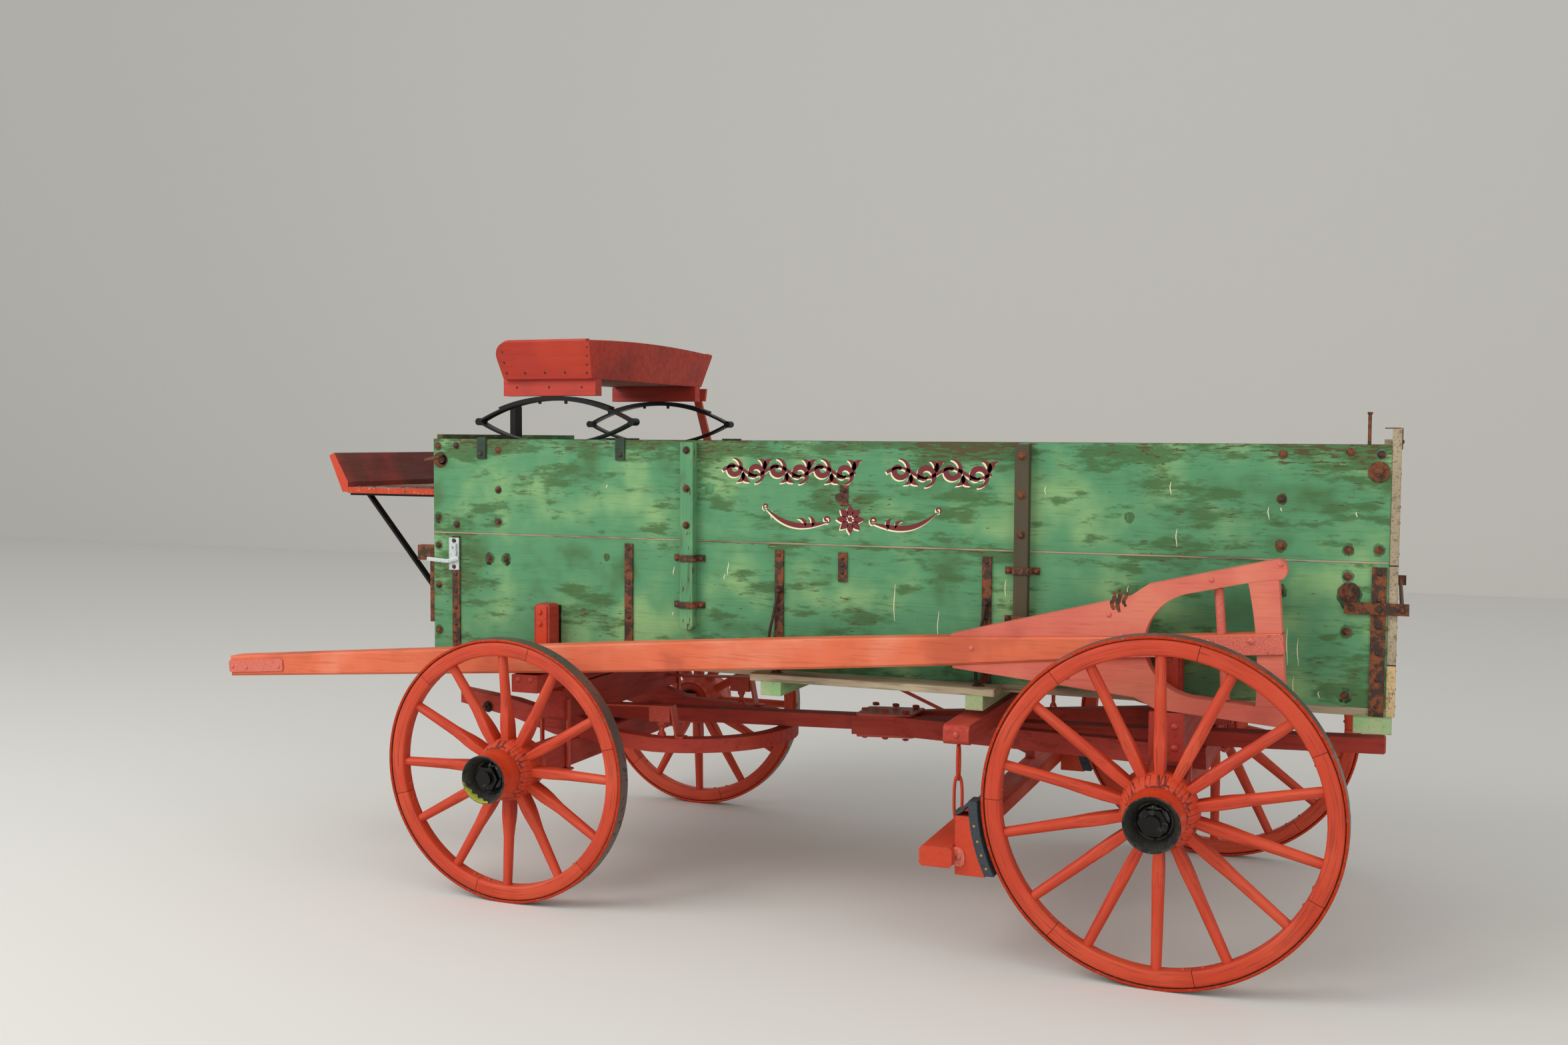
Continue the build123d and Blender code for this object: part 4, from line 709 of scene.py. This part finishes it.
def nose_lichen(wheel):
    """Lichen on the lower front of the mouth: a lumpy skin down the funnel, deepest half way round."""
    angle = linspace(math.radians(190), math.radians(285), 60)[:, None]
    share = (angle - angle[0]) / (angle[-1] - angle[0])
    deep = 0.12 + 0.88 * sin(pi * share) ** 0.7 * (0.8 + 0.2 * sin(17 * angle))
    along = array([0, 0.12, 0.35, 0.6, 0.85, 1.0])
    radius = interp(along * deep, [0, 0.12, 0.3, 1], [78.6, 75.6, 72.5, 66])
    offset = interp(along * deep, [0, 0.12, 0.3, 1], [137.0, 136.7, 132.5, 118])
    lump = 1.0 + 0.5 * sin(31 * angle) * sin(9 * along + 4 * angle)
    lift = 1.6 * lump * sin(pi * (0.12 + 0.76 * along))
    crust = wheel.at(radius - 0.7 * lift, angle, offset + 0.7 * lift)
    under = wheel.at(radius + 1.5, angle, offset - 1.0)
    return skin(concatenate([crust, under[:, ::-1]], 1))


def back_band(wheel):
    """Flat iron band round the back end of the hub."""
    return wheel.turning([[78, -123], [85, -123], [85.5, -120], [85.5, -94], [85, -92], [78, -92]])


def felloe_rivets(wheel):
    """Small rivets each side of every felloe joint, on the inner edge of the rim."""
    parts = []
    for joint in wheel.joints:
        for turn in (-30, 34):
            angle = joint + turn / wheel.radius
            normal = wheel.centre - wheel.at(1.0, angle, 0.0)
            parts.append(domes(wheel.at(wheel.rim_inner + 0.5, angle, 0.0), normal, 6, 5, 10))
    return joined(parts)


WHEELS = (
    Wheel("front_left", 447, 12, 106),
    Wheel("front_right", 447, 12, 106),
    Wheel("rear_left", 510, 14, 114),
    Wheel("rear_right", 510, 14, 114),
)
WHEEL_PIECES = (
    # piece, shape, finish, slot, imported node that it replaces, sharpest smooth angle
    ("Felloes", felloes, RIM_ENAMEL, "wheel_paint", "wheel", 35),
    ("Spokes", spokes, RIM_ENAMEL, "wheel_paint", "", 50),
    ("Hub", hub_barrel, HUB_ENAMEL, "wheel_paint", "", 35),
    ("Tyre", tyre, STEEL, "tyre_iron", "tyre", 35),
    ("Nose", nose_shell, WHEEL_RED, "wheel_paint", "hub_irons", 35),
    ("Nose_mouth", nose_funnel, SOOT, "black_iron", "", 35),
    ("Grease", grease, GREASE, "black_iron", "", 35),
    ("Hub_band", back_band, WHEEL_RED, "wheel_paint", "", 35),
    ("Rim_rivets", felloe_rivets, WHEEL_RED, "wheel_paint", "", 35),
)
STRAPS = (
    # middle back from the box front, top below the seam, bottom over the floor, number of rivets
    (95, 14, 0, 7), (787, 20, 0, 4), (1340, 23, 0, 3), (1560, 25, 300, 3), (2036, 22, 0, 3),
    (3175, 15, -23, 6),
)
STRAP_OUT = 6
SIDE_BOLTS = [
    (back, height)
    for back, heights in (
        (20, (1526, 1270, 1171, 1028, 865)), (96, (1529, 1247)), (269, (1514, 1374, 1260)),
        (232, (1129,)), (300, (1129,)), (2906, (1524, 1394, 1258, 1126)),
        (3090, (1532, 1252, 1176, 1016, 832)), (3172, (1525, 1254)),
    )
    for height in heights
]
STAKES = (
    # front edge back from the box front, width, staple heights, bolt heights
    (992, 48, (1159, 1002), (1520, 1392, 1270)),
    (2126, 44, (1158, 1007), (1512, 1392, 1270)),
)
STAKE_OUT = 32
STAPLE_OUT = 2.6


def strap_rivets():
    """Rivet heads evenly spaced down every strap iron."""
    points = [
        on_side(back, linspace(SEAM - drop - 18, FLOOR_TOP + foot + 30, count), STRAP_OUT - 0.5)
        for back, drop, foot, count in STRAPS
    ]
    return both_sides(domes(concatenate(points), LEFT, 7, 4.5, 12))


def side_bolts():
    """Bolt heads with small washers where the boards are bolted to posts and cleats inside."""
    points = on_side(*zip(*SIDE_BOLTS))
    return both_sides(washers(points, LEFT, 12.5, 2.5), domes(points + (0, -2, 0), LEFT, 8.5, 6.5))


def rust_stains():
    """Stains round the bolts: flat patches whose radius is the sum of a circle and two waves."""
    places = [(back, height, 17 + 3 * sin(0.04 * height)) for back, height in SIDE_BOLTS]
    places += [(1086, 1393, 17), (2470, 1330, 15), (700, 1150, 12), (3096, 1118, 34), (1552, 1352, 17)]
    angle = full_turn(28)
    parts = []
    for back, height, radius in places:
        phase = 0.05 * back + 0.03 * height
        reach = radius * (1 + 0.06 * sin(3 * angle + phase) + 0.05 * sin(8 * angle))
        edge = stack([reach * cos(angle), np.zeros(28), 1.15 * reach * sin(angle)], -1)
        parts.append(skin(on_side(back, height) + stack([edge, edge * 0.98 - (0, 0.3, 0)])))
    return both_sides(*parts)


def stake_staples():
    """Flat irons bent over each stake: foot, rise, bridge, fall and foot, with a bolt in each foot."""
    flat = ring(2.5, 11, 12, 7)
    parts = []
    for edge, width, heights, bolts in STAKES:
        bends = array([-32, -4, -3, width + 3, width + 4, width + 32])
        out = STAPLE_OUT + array([0, 0, STAKE_OUT, STAKE_OUT, 0, 0])
        for height in heights:
            parts.append(carried(bar_path(on_side(edge + bends, height, out)), flat))
            parts.append(nuts(on_side((edge - 21, edge + width + 21), height, 5), LEFT, 10))
        heads = on_side(edge + width / 2, bolts, STAKE_OUT)
        parts += [washers(heads, LEFT, 13, 2), nuts(heads, LEFT, 9)]
    return both_sides(*parts)


def hook_rods():
    """Thin bent rods hung on two straps, from a bolt down to the step plank."""
    parts = []
    for back, start, lean in ((1340, 1065, -30), (2036, 1055, -28)):
        bends = back + lean * array([0, 0.3, 1, 1])
        path = bar_path(on_side(bends, (start, start - 60, start - 150, 802), (15, 18, 19, 19)), 30)
        bolt = on_side(back, start, STRAP_OUT)
        parts.append(carried(path, ring(5, 5, 10), (1, 0, 0)))
        parts += [washers(bolt, LEFT, 14, 3), nuts(bolt, LEFT, 11, 20)]
    return joined(parts)


def link_ring(centre, across, along, long, wide, wire, count=28):
    """A link: a circle of wire swept round an oval |u/a|^n + |v/b|^n = 1 in its own plane."""
    oval = ring(long, wide, count, 2.6)
    across, along = np.asarray(across, float), np.asarray(along, float)
    path = np.asarray(centre) + oval[:, :1] * along + oval[:, 1:] * across
    heading = unit(np.roll(path, -1, 0) - np.roll(path, 1, 0))
    normal = np.cross(along, across)
    outward = np.cross(heading, normal)
    round_wire = ring(wire, wire, 10)
    return skin(path[:, None] + round_wire[:, :1] * outward[:, None] + round_wire[:, 1:] * normal, True)


def eye_bolts():
    """Ring bolts with washers: front upper with a hanging ring, rear upper washer, rear lower ring."""
    front, upper, lower = on_side(29, 1478), on_side(3167, 1476), on_side(3096, 1130)
    return both_sides(
        washers(front, LEFT, 28, 4),
        washers([upper, lower], LEFT, 30, 5),
        domes(upper + (0, -5, 0), LEFT, 12, 7),
        link_ring(front + (-18, -18, 6), (0, 1, 0.25), (1, 0, 0.2), 30, 17, 4.5),
        link_ring(lower + (0, -16, 0), (0, 1, 0), (0.35, 0, 1), 22, 16, 5.5),
        nuts(front + (0, -4, 0), LEFT, 12, 9, 6),
    )


def keeper_bolts():
    """Square bolt heads on the flat iron that holds the gate, and its pin behind the box."""
    low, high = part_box("gate_keepers")
    height = (low.z + high.z) / 2 / MM
    return both_sides(nuts(on_side((3103, 3176, 3238), height, 12), LEFT))


def hasp():
    """Silver hasp: a back plate with raised edges and a folded arm that reaches past the box front."""
    plate = slab(on_side(68, 1084, 6.2), on_side(110, 1200, 9))
    boss = slab(on_side(77, 1118, 9), on_side(101, 1180, 16))
    bends = bar_path(on_side((112, 70, -15), (1128, 1116, 1122), (14, 20, 22)))
    return joined([plate, boss, carried(bends, ring(3, 7, 10, 5))])


def hasp_bolts():
    """Rusty bolts at the top and bottom of the hasp plate."""
    return domes(on_side(89, (1190, 1096), 9), LEFT)


def old_latch():
    """Remains of a latch on the upper board: a rusty plate, two bolts and a washer."""
    return joined([
        slab(on_side(1548, 1345), on_side(1576, 1412, 3)),
        domes(on_side((1562, 1552), (1396, 1370), 3), LEFT, 8, 6),
        washers(on_side(1546, 1372), LEFT, 14, 4),
    ])


def board_ledges():
    """Bare weathered ledge: the lower board's top edge, which shows pale along the seam."""
    low, high = (BOX_FRONT + 1, BOX_FACE - 1.2, SEAM - 5), (BOX_REAR - 1, BOX_FACE + 4, SEAM)
    return both_sides(slab(low, high))


PAINT_LIFT = 0.5
SIGN = array([1583, 1302])


def stroke(back, height, width):
    """A brush stroke on the box: a flat ribbon along a path, its width given at every point."""
    path = stack([np.asarray(back, float), np.asarray(height, float)], -1)
    along = unit(np.gradient(path, axis=0))
    across = stack([-along[:, 1], along[:, 0]], -1) * np.asarray(width)[:, None] / 2
    left, right = path - across, path + across
    corners = ((left, 0.0), (left, PAINT_LIFT), (right, PAINT_LIFT), (right, 0.0))
    return skin(stack([on_side(*edge.T, lift) for edge, lift in corners], 1))


def scroll(centre, size, start, hand, weight):
    """A curling scroll: the radius shrinks evenly over 1.2 turns, the stroke swelling in the middle."""
    t = linspace(0, 1, 44)
    angle = start + hand * 2.4 * pi * t
    radius = size * (1 - 0.84 * t)
    width = weight * (0.25 + 0.95 * sin(pi * np.clip(t * 1.05, 0, 1)) ** 0.8)
    return stroke(centre[0] + radius * cos(angle), centre[1] + radius * sin(angle), width)


def leaf(base, tip, belly, hand):
    """A leaf: a bowed stroke that swells to its belly and ends in a point."""
    t = linspace(0, 1, 20)
    chord = tip - base
    bow = hand * 0.22 * sin(pi * t)
    back = base[0] + chord[0] * t - chord[1] * bow
    height = base[1] + chord[1] * t + chord[0] * bow
    return stroke(back, height, belly * (0.06 + sin(pi * t**0.8)))


def running_scroll():
    """A running border over two stretches, a rosette below, and a flourish on either side of it."""
    parts = []
    middle = 1455
    for start, end, units in ((1135, 1600, 6), (1705, 2045, 4)):
        pitch = (end - start) / units
        t = linspace(0, 1, 24 * units)
        wave = pi * units * t
        parts.append(stroke(start + (end - start) * t, middle + 16 * sin(wave), 6 + 5 * abs(cos(wave))))
        for k in range(units):
            hand = 1 if k % 2 else -1
            centre = (start + (k + 0.5) * pitch, middle - hand * 8)
            base = array([start + (k + 0.95) * pitch, middle + hand * 4])
            parts += [
                scroll(centre, 0.42 * pitch, 0.5 * pi * hand + pi, hand, 15),
                leaf(base, base + (26, hand * 34), 17, hand),
                leaf(base, base + (-23, hand * 35), 15, -hand),
            ]
    for turn in pi / 4 * np.arange(8):
        ray = array([cos(turn), sin(turn)])
        parts.append(leaf(SIGN + 10 * ray, SIGN + 47 * ray, 21, 0))
    parts.append(studs(on_side(*SIGN), LEFT, [[8, 0], [8, PAINT_LIFT]], 20))
    t = linspace(0, 1, 40)
    sweep = 1292 - 22 * sin(pi * t * 0.75) + 55 * t**3
    width = 17 * sin(pi * np.clip(t, 0.03, 0.985)) ** 0.7
    for hand in (-1, 1):
        out = SIGN[0] + hand * array([80, 293, 130])
        base = array([out[2], 1276])
        parts += [
            stroke(SIGN[0] + hand * (75 + 215 * t), sweep, width),
            scroll((out[0], 1300), 13, -0.5 * pi, -hand, 6),
            scroll((out[1], 1338), 10, -0.5 * pi, hand, 5),
            leaf(base, base + (hand * 10, 34), 12, hand),
            leaf(base + (hand * 22, 0), base + (hand * 50, 26), 10, hand),
        ]
    return joined(parts)


def ornament_maroon():
    """The scroll ornament on both sides of the box."""
    return both_sides(running_scroll())


def ornament_cream():
    """The ornament's cream shade, a little ahead of it and below."""
    places, faces = running_scroll()
    return both_sides((places + (-3.5, 0.25, -4.5), faces))


def paint_drips():
    """Short white drips and specks of paint on the green: thin upright strokes at fixed places."""
    places = (
        # back, top height, length
        (955, 1128, 30), (952, 975, 14), (1155, 1150, 46), (1142, 1110, 20), (1735, 1100, 120),
        (1880, 1020, 90), (2215, 1420, 26), (2095, 1130, 58), (2470, 1125, 40), (2590, 1440, 40),
        (2610, 1300, 55), (2870, 1370, 36), (2905, 1370, 12), (3110, 1362, 16), (2930, 1020, 110),
        (2960, 990, 80), (2950, 880, 70), (3020, 840, 20), (700, 1400, 12), (1310, 1325, 30),
    )
    t = linspace(0, 1, 8)
    width = 2.4 * sin(pi * (0.1 + 0.8 * t))
    return joined([
        stroke(back + 2 * sin(5 * t + back * MM), top - length * t, width) for back, top, length in places
    ])


def gear_clips(axle_x, low, half, clip_y):
    """Square clips round an axle and the timber above it: two rods, a plate below, and nuts."""
    parts = []
    for y in (-clip_y, clip_y):
        for x in (axle_x - half - 5, axle_x + half + 5):
            parts.append(slab((x - 4, y - 9, low - 3), (x + 4, y + 9, 640)))
            parts.append(nuts((x, y, low - 8), DOWN, 12, 9))
        parts.append(slab((axle_x - half - 18, y - 16, low - 8), (axle_x + half + 18, y + 16, low)))
    return joined(parts)


def front_clips():
    """Clips of the front axle."""
    return gear_clips(-766, 395, 48, 452)


def rear_clips():
    """Clips of the rear axle."""
    return gear_clips(1376, 458, 50, 520)


def hound_bolts():
    """Bolts through the front hounds, and a big hexagon nut at the tongue's eye."""
    heads = [(-1180, -331.6, 580), (-1040, -344.6, 562), (-900, -357.6, 556)]
    eye = array([-1115, -337.6, 566])
    return both_sides(
        domes(heads, LEFT, 9, 6),
        washers(eye, LEFT, 21, 4),
        nuts(eye + (0, -4, 0), LEFT, 17, 15, 6),
        turned([[8, 0], [8, 26], [6, 28]], eye, LEFT, 16),
    )


def stake_irons():
    """Flat iron down the outer face of each bolster stake, bolted near the top."""
    parts = []
    for x in (-750, 1376):
        parts.append(slab((x - 21, -574, 782), (x + 21, -570, 980)))
        parts.append(nuts(grid(x - 6, -574, (958, 918, 806)), LEFT, 9, 7, 6))
    return both_sides(*parts)


def bolster_bolts():
    """Bolt heads on the end faces of the bolsters and of the brake bar."""
    ends = ((-766, 734), (1376, 672), (1376, 735))
    heads = [(x + at, -660, z) for x, z in ends for at in (-24, 24)] + [(770, -735, 676)]
    return both_sides(domes(heads, LEFT, 10, 6))


def reach_bolts():
    """Nuts above and below the splice plates of the reach."""
    x, y = (258, 333, 408), (-62, 62)
    return joined([nuts(grid(x, y, 603), UP, 13, 11), domes(grid(x, y, 513), DOWN, 12, 7)])


def rub_iron():
    """Flat iron on the lower board where the front wheel would rub it when it turns."""
    heads = domes(on_side(505, (860, 955), 3), LEFT, 7)
    return both_sides(slab(on_side(479, 838), on_side(521, 978, 3)), heads)


def plank_bolts():
    """Washers and square nuts that hold the step plank to the sill ends under it."""
    low, high = (grid((120, 792), -560, z) for z in (FLOOR_TOP, FLOOR_TOP + 3))
    return joined([washers(low, UP, 20, 3), nuts(high, UP, 14, 12)])


def floor_nails():
    """Nail heads in rows across the floor planks, over each sill."""
    rows = (-1198, -540, 120, 792, 1376, 1930)
    columns = [k * 166.6 + at for k in range(-3, 3) for at in (28, 138)]
    return domes(grid(rows, columns, FLOOR_TOP), UP, 5, 1.5, 8)


TONGUE_BOLTS = (
    # back from the box front, height, outer face of the piece, radius
    (-774, 706, 665, 8), (-711, 706, 665, 8), (-565, 717, 665, 8), (2842, 995, 665, 10),
    (2725, 988, 665, 7), (2440, 1051, 652, 8), (2729, 1165, 652, 8), (2917, 1216, 652, 8),
    (2478, 992, 652, 9), (2030, 930, 660, 8),
)
HOUND_FACE = -652


def tongue_bolts():
    """Round bolt heads along the stowed tongue, each on the outer face of its piece."""
    return joined([
        domes((BOX_FRONT + back, -face, height), LEFT, radius, 0.55 * radius)
        for back, height, face, radius in TONGUE_BOLTS
    ])


def tongue_scrape():
    """A rusty scrape on the upper hound: three short brush-like strokes beside each other."""
    t = linspace(0, 1, 14)
    parts = []
    for back, top, length, width in ((2452, 1118, 52, 9), (2468, 1126, 66, 10.2), (2486, 1122, 45, 7.8)):
        ragged = 0.35 + sin(pi * (0.08 + 0.84 * t)) ** 0.5 + 0.18 * sin(23 * t + back * 0.09)
        places, faces = stroke(back + 4 * sin(7 * t), top - length * t, width * ragged)
        parts.append((places + (0, HOUND_FACE - BOX_FACE, 0), faces))
    return joined(parts)


def brake_links():
    """Hanger: a long hook link over the bar, a long link face on, and an eye in the beam."""
    links = ((390.5, 23.5, (0, 1, 0)), (474.5, 70.5, (1, 0, 0)), (587.5, 52.5, (0, 1, 0)))
    return both_sides(*[
        link_ring((770, -700, middle), across, UP, half, 12.5, 5, 36) for middle, half, across in links
    ])


def pad_curls():
    """Top of each pad bent forward over the holder: a flat strip carried round the bend."""
    bend = ((858, 486), (846, 491), (832, 488), (820, 479), (811, 467), (801, 460), (790, 459))
    return both_sides(carried([(x, -782, z) for x, z in bend], ring(32.5, 5, 20, 6)))


def pad_screws():
    """Brass screws up the edge of each pad."""
    places = [(x, -815, z) for x, z in ((888, 302), (873, 340), (861, 380), (850, 425))]
    return both_sides(domes(places, LEFT, 5, 3, 12))


def beam_plates():
    """Rounded keeper plate bent over the joint between the beam and the holder, with one bolt."""
    outline = ((790, 304), (812, 300), (822, 310), (824, 332), (818, 352), (802, 360), (786, 356))
    rings = array([[(x, y, z) for x, z in outline] for y in (-815.0, -819.0, -820.0)])
    middle = rings[:1].mean(1)
    rings[2] = middle + (rings[2] - middle) * 0.97
    return both_sides(skin(rings), domes((804, -820, 330), LEFT))


GATE_BACK = 1990.3


def gate_nails():
    """Nail heads in three columns over the gate's boards."""
    heights = (800, 850, 903, 950, 1030, 1112, 1160, 1240, 1330, 1376, 1470, 1570)
    return domes(grid(GATE_BACK, (-440, 0, 440), heights), (1, 0, 0), 4.5, 1.5, 8)


def gate_irons():
    """Rusty angle iron on the gate's top corner, with one bolt."""
    top = slab((1944, -496, 1599), (1989, -462, 1602))
    face = slab((GATE_BACK, -496, 1540), (1993, -462, 1602))
    return joined([top, face, domes((1993, -479, 1562), (1, 0, 0), 6, 4)])


def corner_rod():
    """A short rod that stands in the box side's top edge by the gate."""
    return turned([[5, 0], [5, 88], [7.5, 90], [7, 95]], (1904, -490, 1551), UP, 12)


def seat_irons():
    """Clips and bolts that hold the springs to the rails, and hook bolts on the box sides."""
    stub = [[6, 0], [6, 12], [4.5, 14]]
    return both_sides(
        *[slab((x - 9, -434, 1530), (x + 9, -386, 1545)) for x in (-835, -755)],
        *[turned(stub, (x, -410, 1692), DOWN, 10) for x in (-850, -745)],
        nuts(grid((-835, -755, -1000, -600), -427, 1519), LEFT, 9),
        domes(grid((-1035, -480), -506, 1502), LEFT),
    )


def seat_nails():
    """Nail heads along the corners of the seat's flared sides, and on its risers."""
    flared = [(-634, 1784), (-627, 1812), (-619, 1842), (-611, 1870), (-604, 1894)]
    flared += [(x, 1786) for x in (-955, -880, -800, -720)] + [(-955, 1822), (-952, 1858)]
    foot_y, foot_z, flare = 455.6, 1776, 0.4685
    sides = [(x, -(foot_y + flare * (z - foot_z)), z) for x, z in flared]
    risers = grid((-930, -800, -670), -432, 1736)
    return both_sides(domes(sides, (0, -1, -flare), 4.5, 2, 10), domes(risers, LEFT, 4.5, 2, 10))


def footboard_bolts():
    """Carriage bolt heads on the footboard planks, over the two braces."""
    rows = (-1595, -1530, -1405, -1345, -1280)
    return domes(grid(rows, (-450, 450), 1372), UP, 9, 4)


def front_bolts():
    """Bolt heads in three columns on the front boards, and one column on each front corner iron."""
    heads = grid(BOX_FRONT, (-452, 0, 452), (850, 1010, 1170, 1270, 1500))
    irons = grid(-1253, (-485, 485), (915, 1000, 1080))
    return domes(concatenate([heads, irons]), (-1, 0, 0))


PIECES = (
    # shape, which names the piece; finish; slot; body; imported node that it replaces
    (strap_rivets, BROWN),
    (side_bolts, RUSTY),
    (rust_stains, STAIN, "box_paint"),
    (stake_staples, RUSTY),
    (hook_rods, BROWN),
    (eye_bolts, RUSTY),
    (keeper_bolts, BROWN),
    (hasp, SILVER),
    (hasp_bolts, RUSTY),
    (old_latch, RUSTY),
    (board_ledges, PINE, "bare_wood"),
    (ornament_maroon, MAROON, "toe_paint"),
    (ornament_cream, CREAM, "bare_wood"),
    (paint_drips, CREAM, "bare_wood"),
    (front_clips, RED, "black_iron", "front_gear"),
    (hound_bolts, BROWN, "black_iron", "front_gear"),
    (rear_clips, RED, "black_iron"),
    (stake_irons, WHEEL_RED, "gear_paint"),
    (bolster_bolts, RED, "gear_paint"),
    (reach_bolts, RED, "black_iron"),
    (rub_iron, BLACK, "black_iron"),
    (plank_bolts, RUSTY),
    (floor_nails, BROWN),
    (tongue_bolts, SALMON, "tongue_paint"),
    (tongue_scrape, RUSTY, "tongue_paint"),
    (brake_links, WHEEL_RED, "tongue_paint", "wagon", "brake_chains"),
    (pad_curls, PAD, "brake_pad"),
    (pad_screws, BRASS),
    (beam_plates, SALMON, "tongue_paint"),
    (gate_nails, BROWN, "worn_iron", "rear_gate"),
    (gate_irons, RUSTY, "worn_iron", "rear_gate"),
    (corner_rod, RUSTY),
    (front_bolts, RUSTY),
    (seat_irons, BROWN, "black_iron"),
    (seat_nails, BROWN, "seat_paint"),
    (footboard_bolts, RUSTY),
)


class WAGON_OT_finishes(bpy.types.Operator):
    """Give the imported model's own pieces their paints, woods and irons"""

    bl_idname = "wagon.finishes"
    bl_label = "Finishes"

    def execute(self, context):
        for name, _, nodes, *_ in WOODS + IRONS:
            for packed in nodes.split():
                mesh = frame["nodes"][packed].data
                mesh.materials.clear()
                mesh.materials.append(finishes()[name])
        return {"FINISHED"}


class WAGON_OT_wheels(bpy.types.Operator):
    """Build the wheels: rim segments, wedge-footed spokes, turned hubs, noses and tyres"""

    bl_idname = "wagon.wheels"
    bl_label = "Wheels"

    def execute(self, context):
        for wheel in WHEELS:
            for piece, shape, finish, slot, replaced, sharp in WHEEL_PIECES:
                body = wheel.carrier if shape is grease else wheel.body
                node = replaced and f"{replaced}_{wheel.name}"
                put(f"{piece}_{wheel.name}", shape(wheel), finish, slot, body, node, sharp)
        put("Nose_lichen", nose_lichen(WHEELS[0]), LICHEN, "wheel_paint", WHEELS[0].body)
        return {"FINISHED"}


class WAGON_OT_pieces(bpy.types.Operator):
    """Add the bolts, nails, clips, rings and links, the hasp and latch, and the painted ornament"""

    bl_idname = "wagon.pieces"
    bl_label = "Irons and ornament"

    def execute(self, context):
        for shape, finish, *place in PIECES:
            put(shape.__name__.capitalize(), shape(), finish, *place)
        return {"FINISHED"}


def camera_turn(yaw, pitch, roll):
    """Camera axes for a yaw about Z, then a pitch about X, then a roll about Y: right, up and backward."""
    turn = Matrix.Rotation(yaw, 3, "Z") @ Matrix.Rotation(pitch, 3, "X") @ Matrix.Rotation(roll, 3, "Y")
    right, forward, up = turn.col
    return Matrix((right, up, -forward)).transposed().to_4x4()


class WAGON_OT_stage(bpy.types.Operator):
    """Set the camera, the soft studio light and the pale floor"""

    bl_idname = "wagon.stage"
    bl_label = "Stage"

    def execute(self, context):
        scene = context.scene
        stage = scene.wagon_stage
        camera = bpy.data.objects.new("Camera", bpy.data.cameras.new("Camera"))
        camera.data.lens = stage.lens
        camera.data.sensor_width = 36
        camera.matrix_world = Matrix.Translation(stage.camera_place) @ camera_turn(
            stage.yaw, stage.pitch, stage.roll
        )
        scene.collection.objects.link(camera)
        scene.camera = camera
        scene.view_settings.view_transform = "Standard"
        world = bpy.data.worlds.new("Studio")
        world.use_nodes = True
        world.node_tree.nodes["Background"].inputs["Color"].default_value = linear("#EDEFF2")
        world.node_tree.nodes["Background"].inputs["Strength"].default_value = stage.sky
        scene.world = world
        lamps = (
            # name, place, size, watts
            ("Key", (-4.5, -6.0, 6.0), 5.0, stage.key),
            ("Fill", (6.0, -5.0, 4.0), 6.0, stage.fill),
        )
        for name, place, size, watts in lamps:
            lamp = bpy.data.lights.new(name, "AREA")
            lamp.size = size
            lamp.energy = watts
            stand = bpy.data.objects.new(name, lamp)
            stand.location = place
            aim = Vector((0, 0, 0.8)) - Vector(place)
            stand.rotation_euler = aim.to_track_quat("-Z", "Y").to_euler()
            scene.collection.objects.link(stand)
        pale = Coat("Pale studio floor", None).close(Base_Color=stage.floor_colour, Roughness=0.9)
        mesh = bpy.data.meshes.new("Floor")
        places = [(-30, 12, 0), (30, 12, 0), (30, -30, 0), (-30, -30, 0), (-30, 12, 14), (30, 12, 14)]
        mesh.from_pydata(places, [], [(0, 3, 2, 1), (0, 1, 5, 4)])
        mesh.materials.append(pale)
        floor = bpy.data.objects.new("Floor", mesh)
        scene.collection.objects.link(floor)
        return {"FINISHED"}


class WAGON_PT_panel(bpy.types.Panel):
    """Buttons and colours of the wagon"""

    bl_label = "Box Wagon"
    bl_idname = "WAGON_PT_panel"
    bl_space_type = "VIEW_3D"
    bl_region_type = "UI"
    bl_category = "Wagon"

    def draw(self, context):
        for operator in OPERATORS:
            self.layout.operator(operator.bl_idname)
        for name in PAINTS:
            self.layout.prop(context.scene.wagon_paints, name)


OPERATORS = (WAGON_OT_finishes, WAGON_OT_wheels, WAGON_OT_pieces, WAGON_OT_stage)
CLASSES = (WagonPaints, WagonStage, *OPERATORS, WAGON_PT_panel)


def register():
    """Register the classes and hang the settings on the scene."""
    for cls in CLASSES:
        bpy.utils.register_class(cls)
    bpy.types.Scene.wagon_paints = bpy.props.PointerProperty(type=WagonPaints)
    bpy.types.Scene.wagon_stage = bpy.props.PointerProperty(type=WagonStage)


def unregister():
    """Undo register."""
    del bpy.types.Scene.wagon_stage
    del bpy.types.Scene.wagon_paints
    for cls in reversed(CLASSES):
        bpy.utils.unregister_class(cls)


def main():
    """Build everything in order."""
    register()
    for operator in OPERATORS:
        group, name = operator.bl_idname.split(".")
        getattr(getattr(bpy.ops, group), name)()
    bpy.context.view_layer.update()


if __name__ == "__main__":
    main()
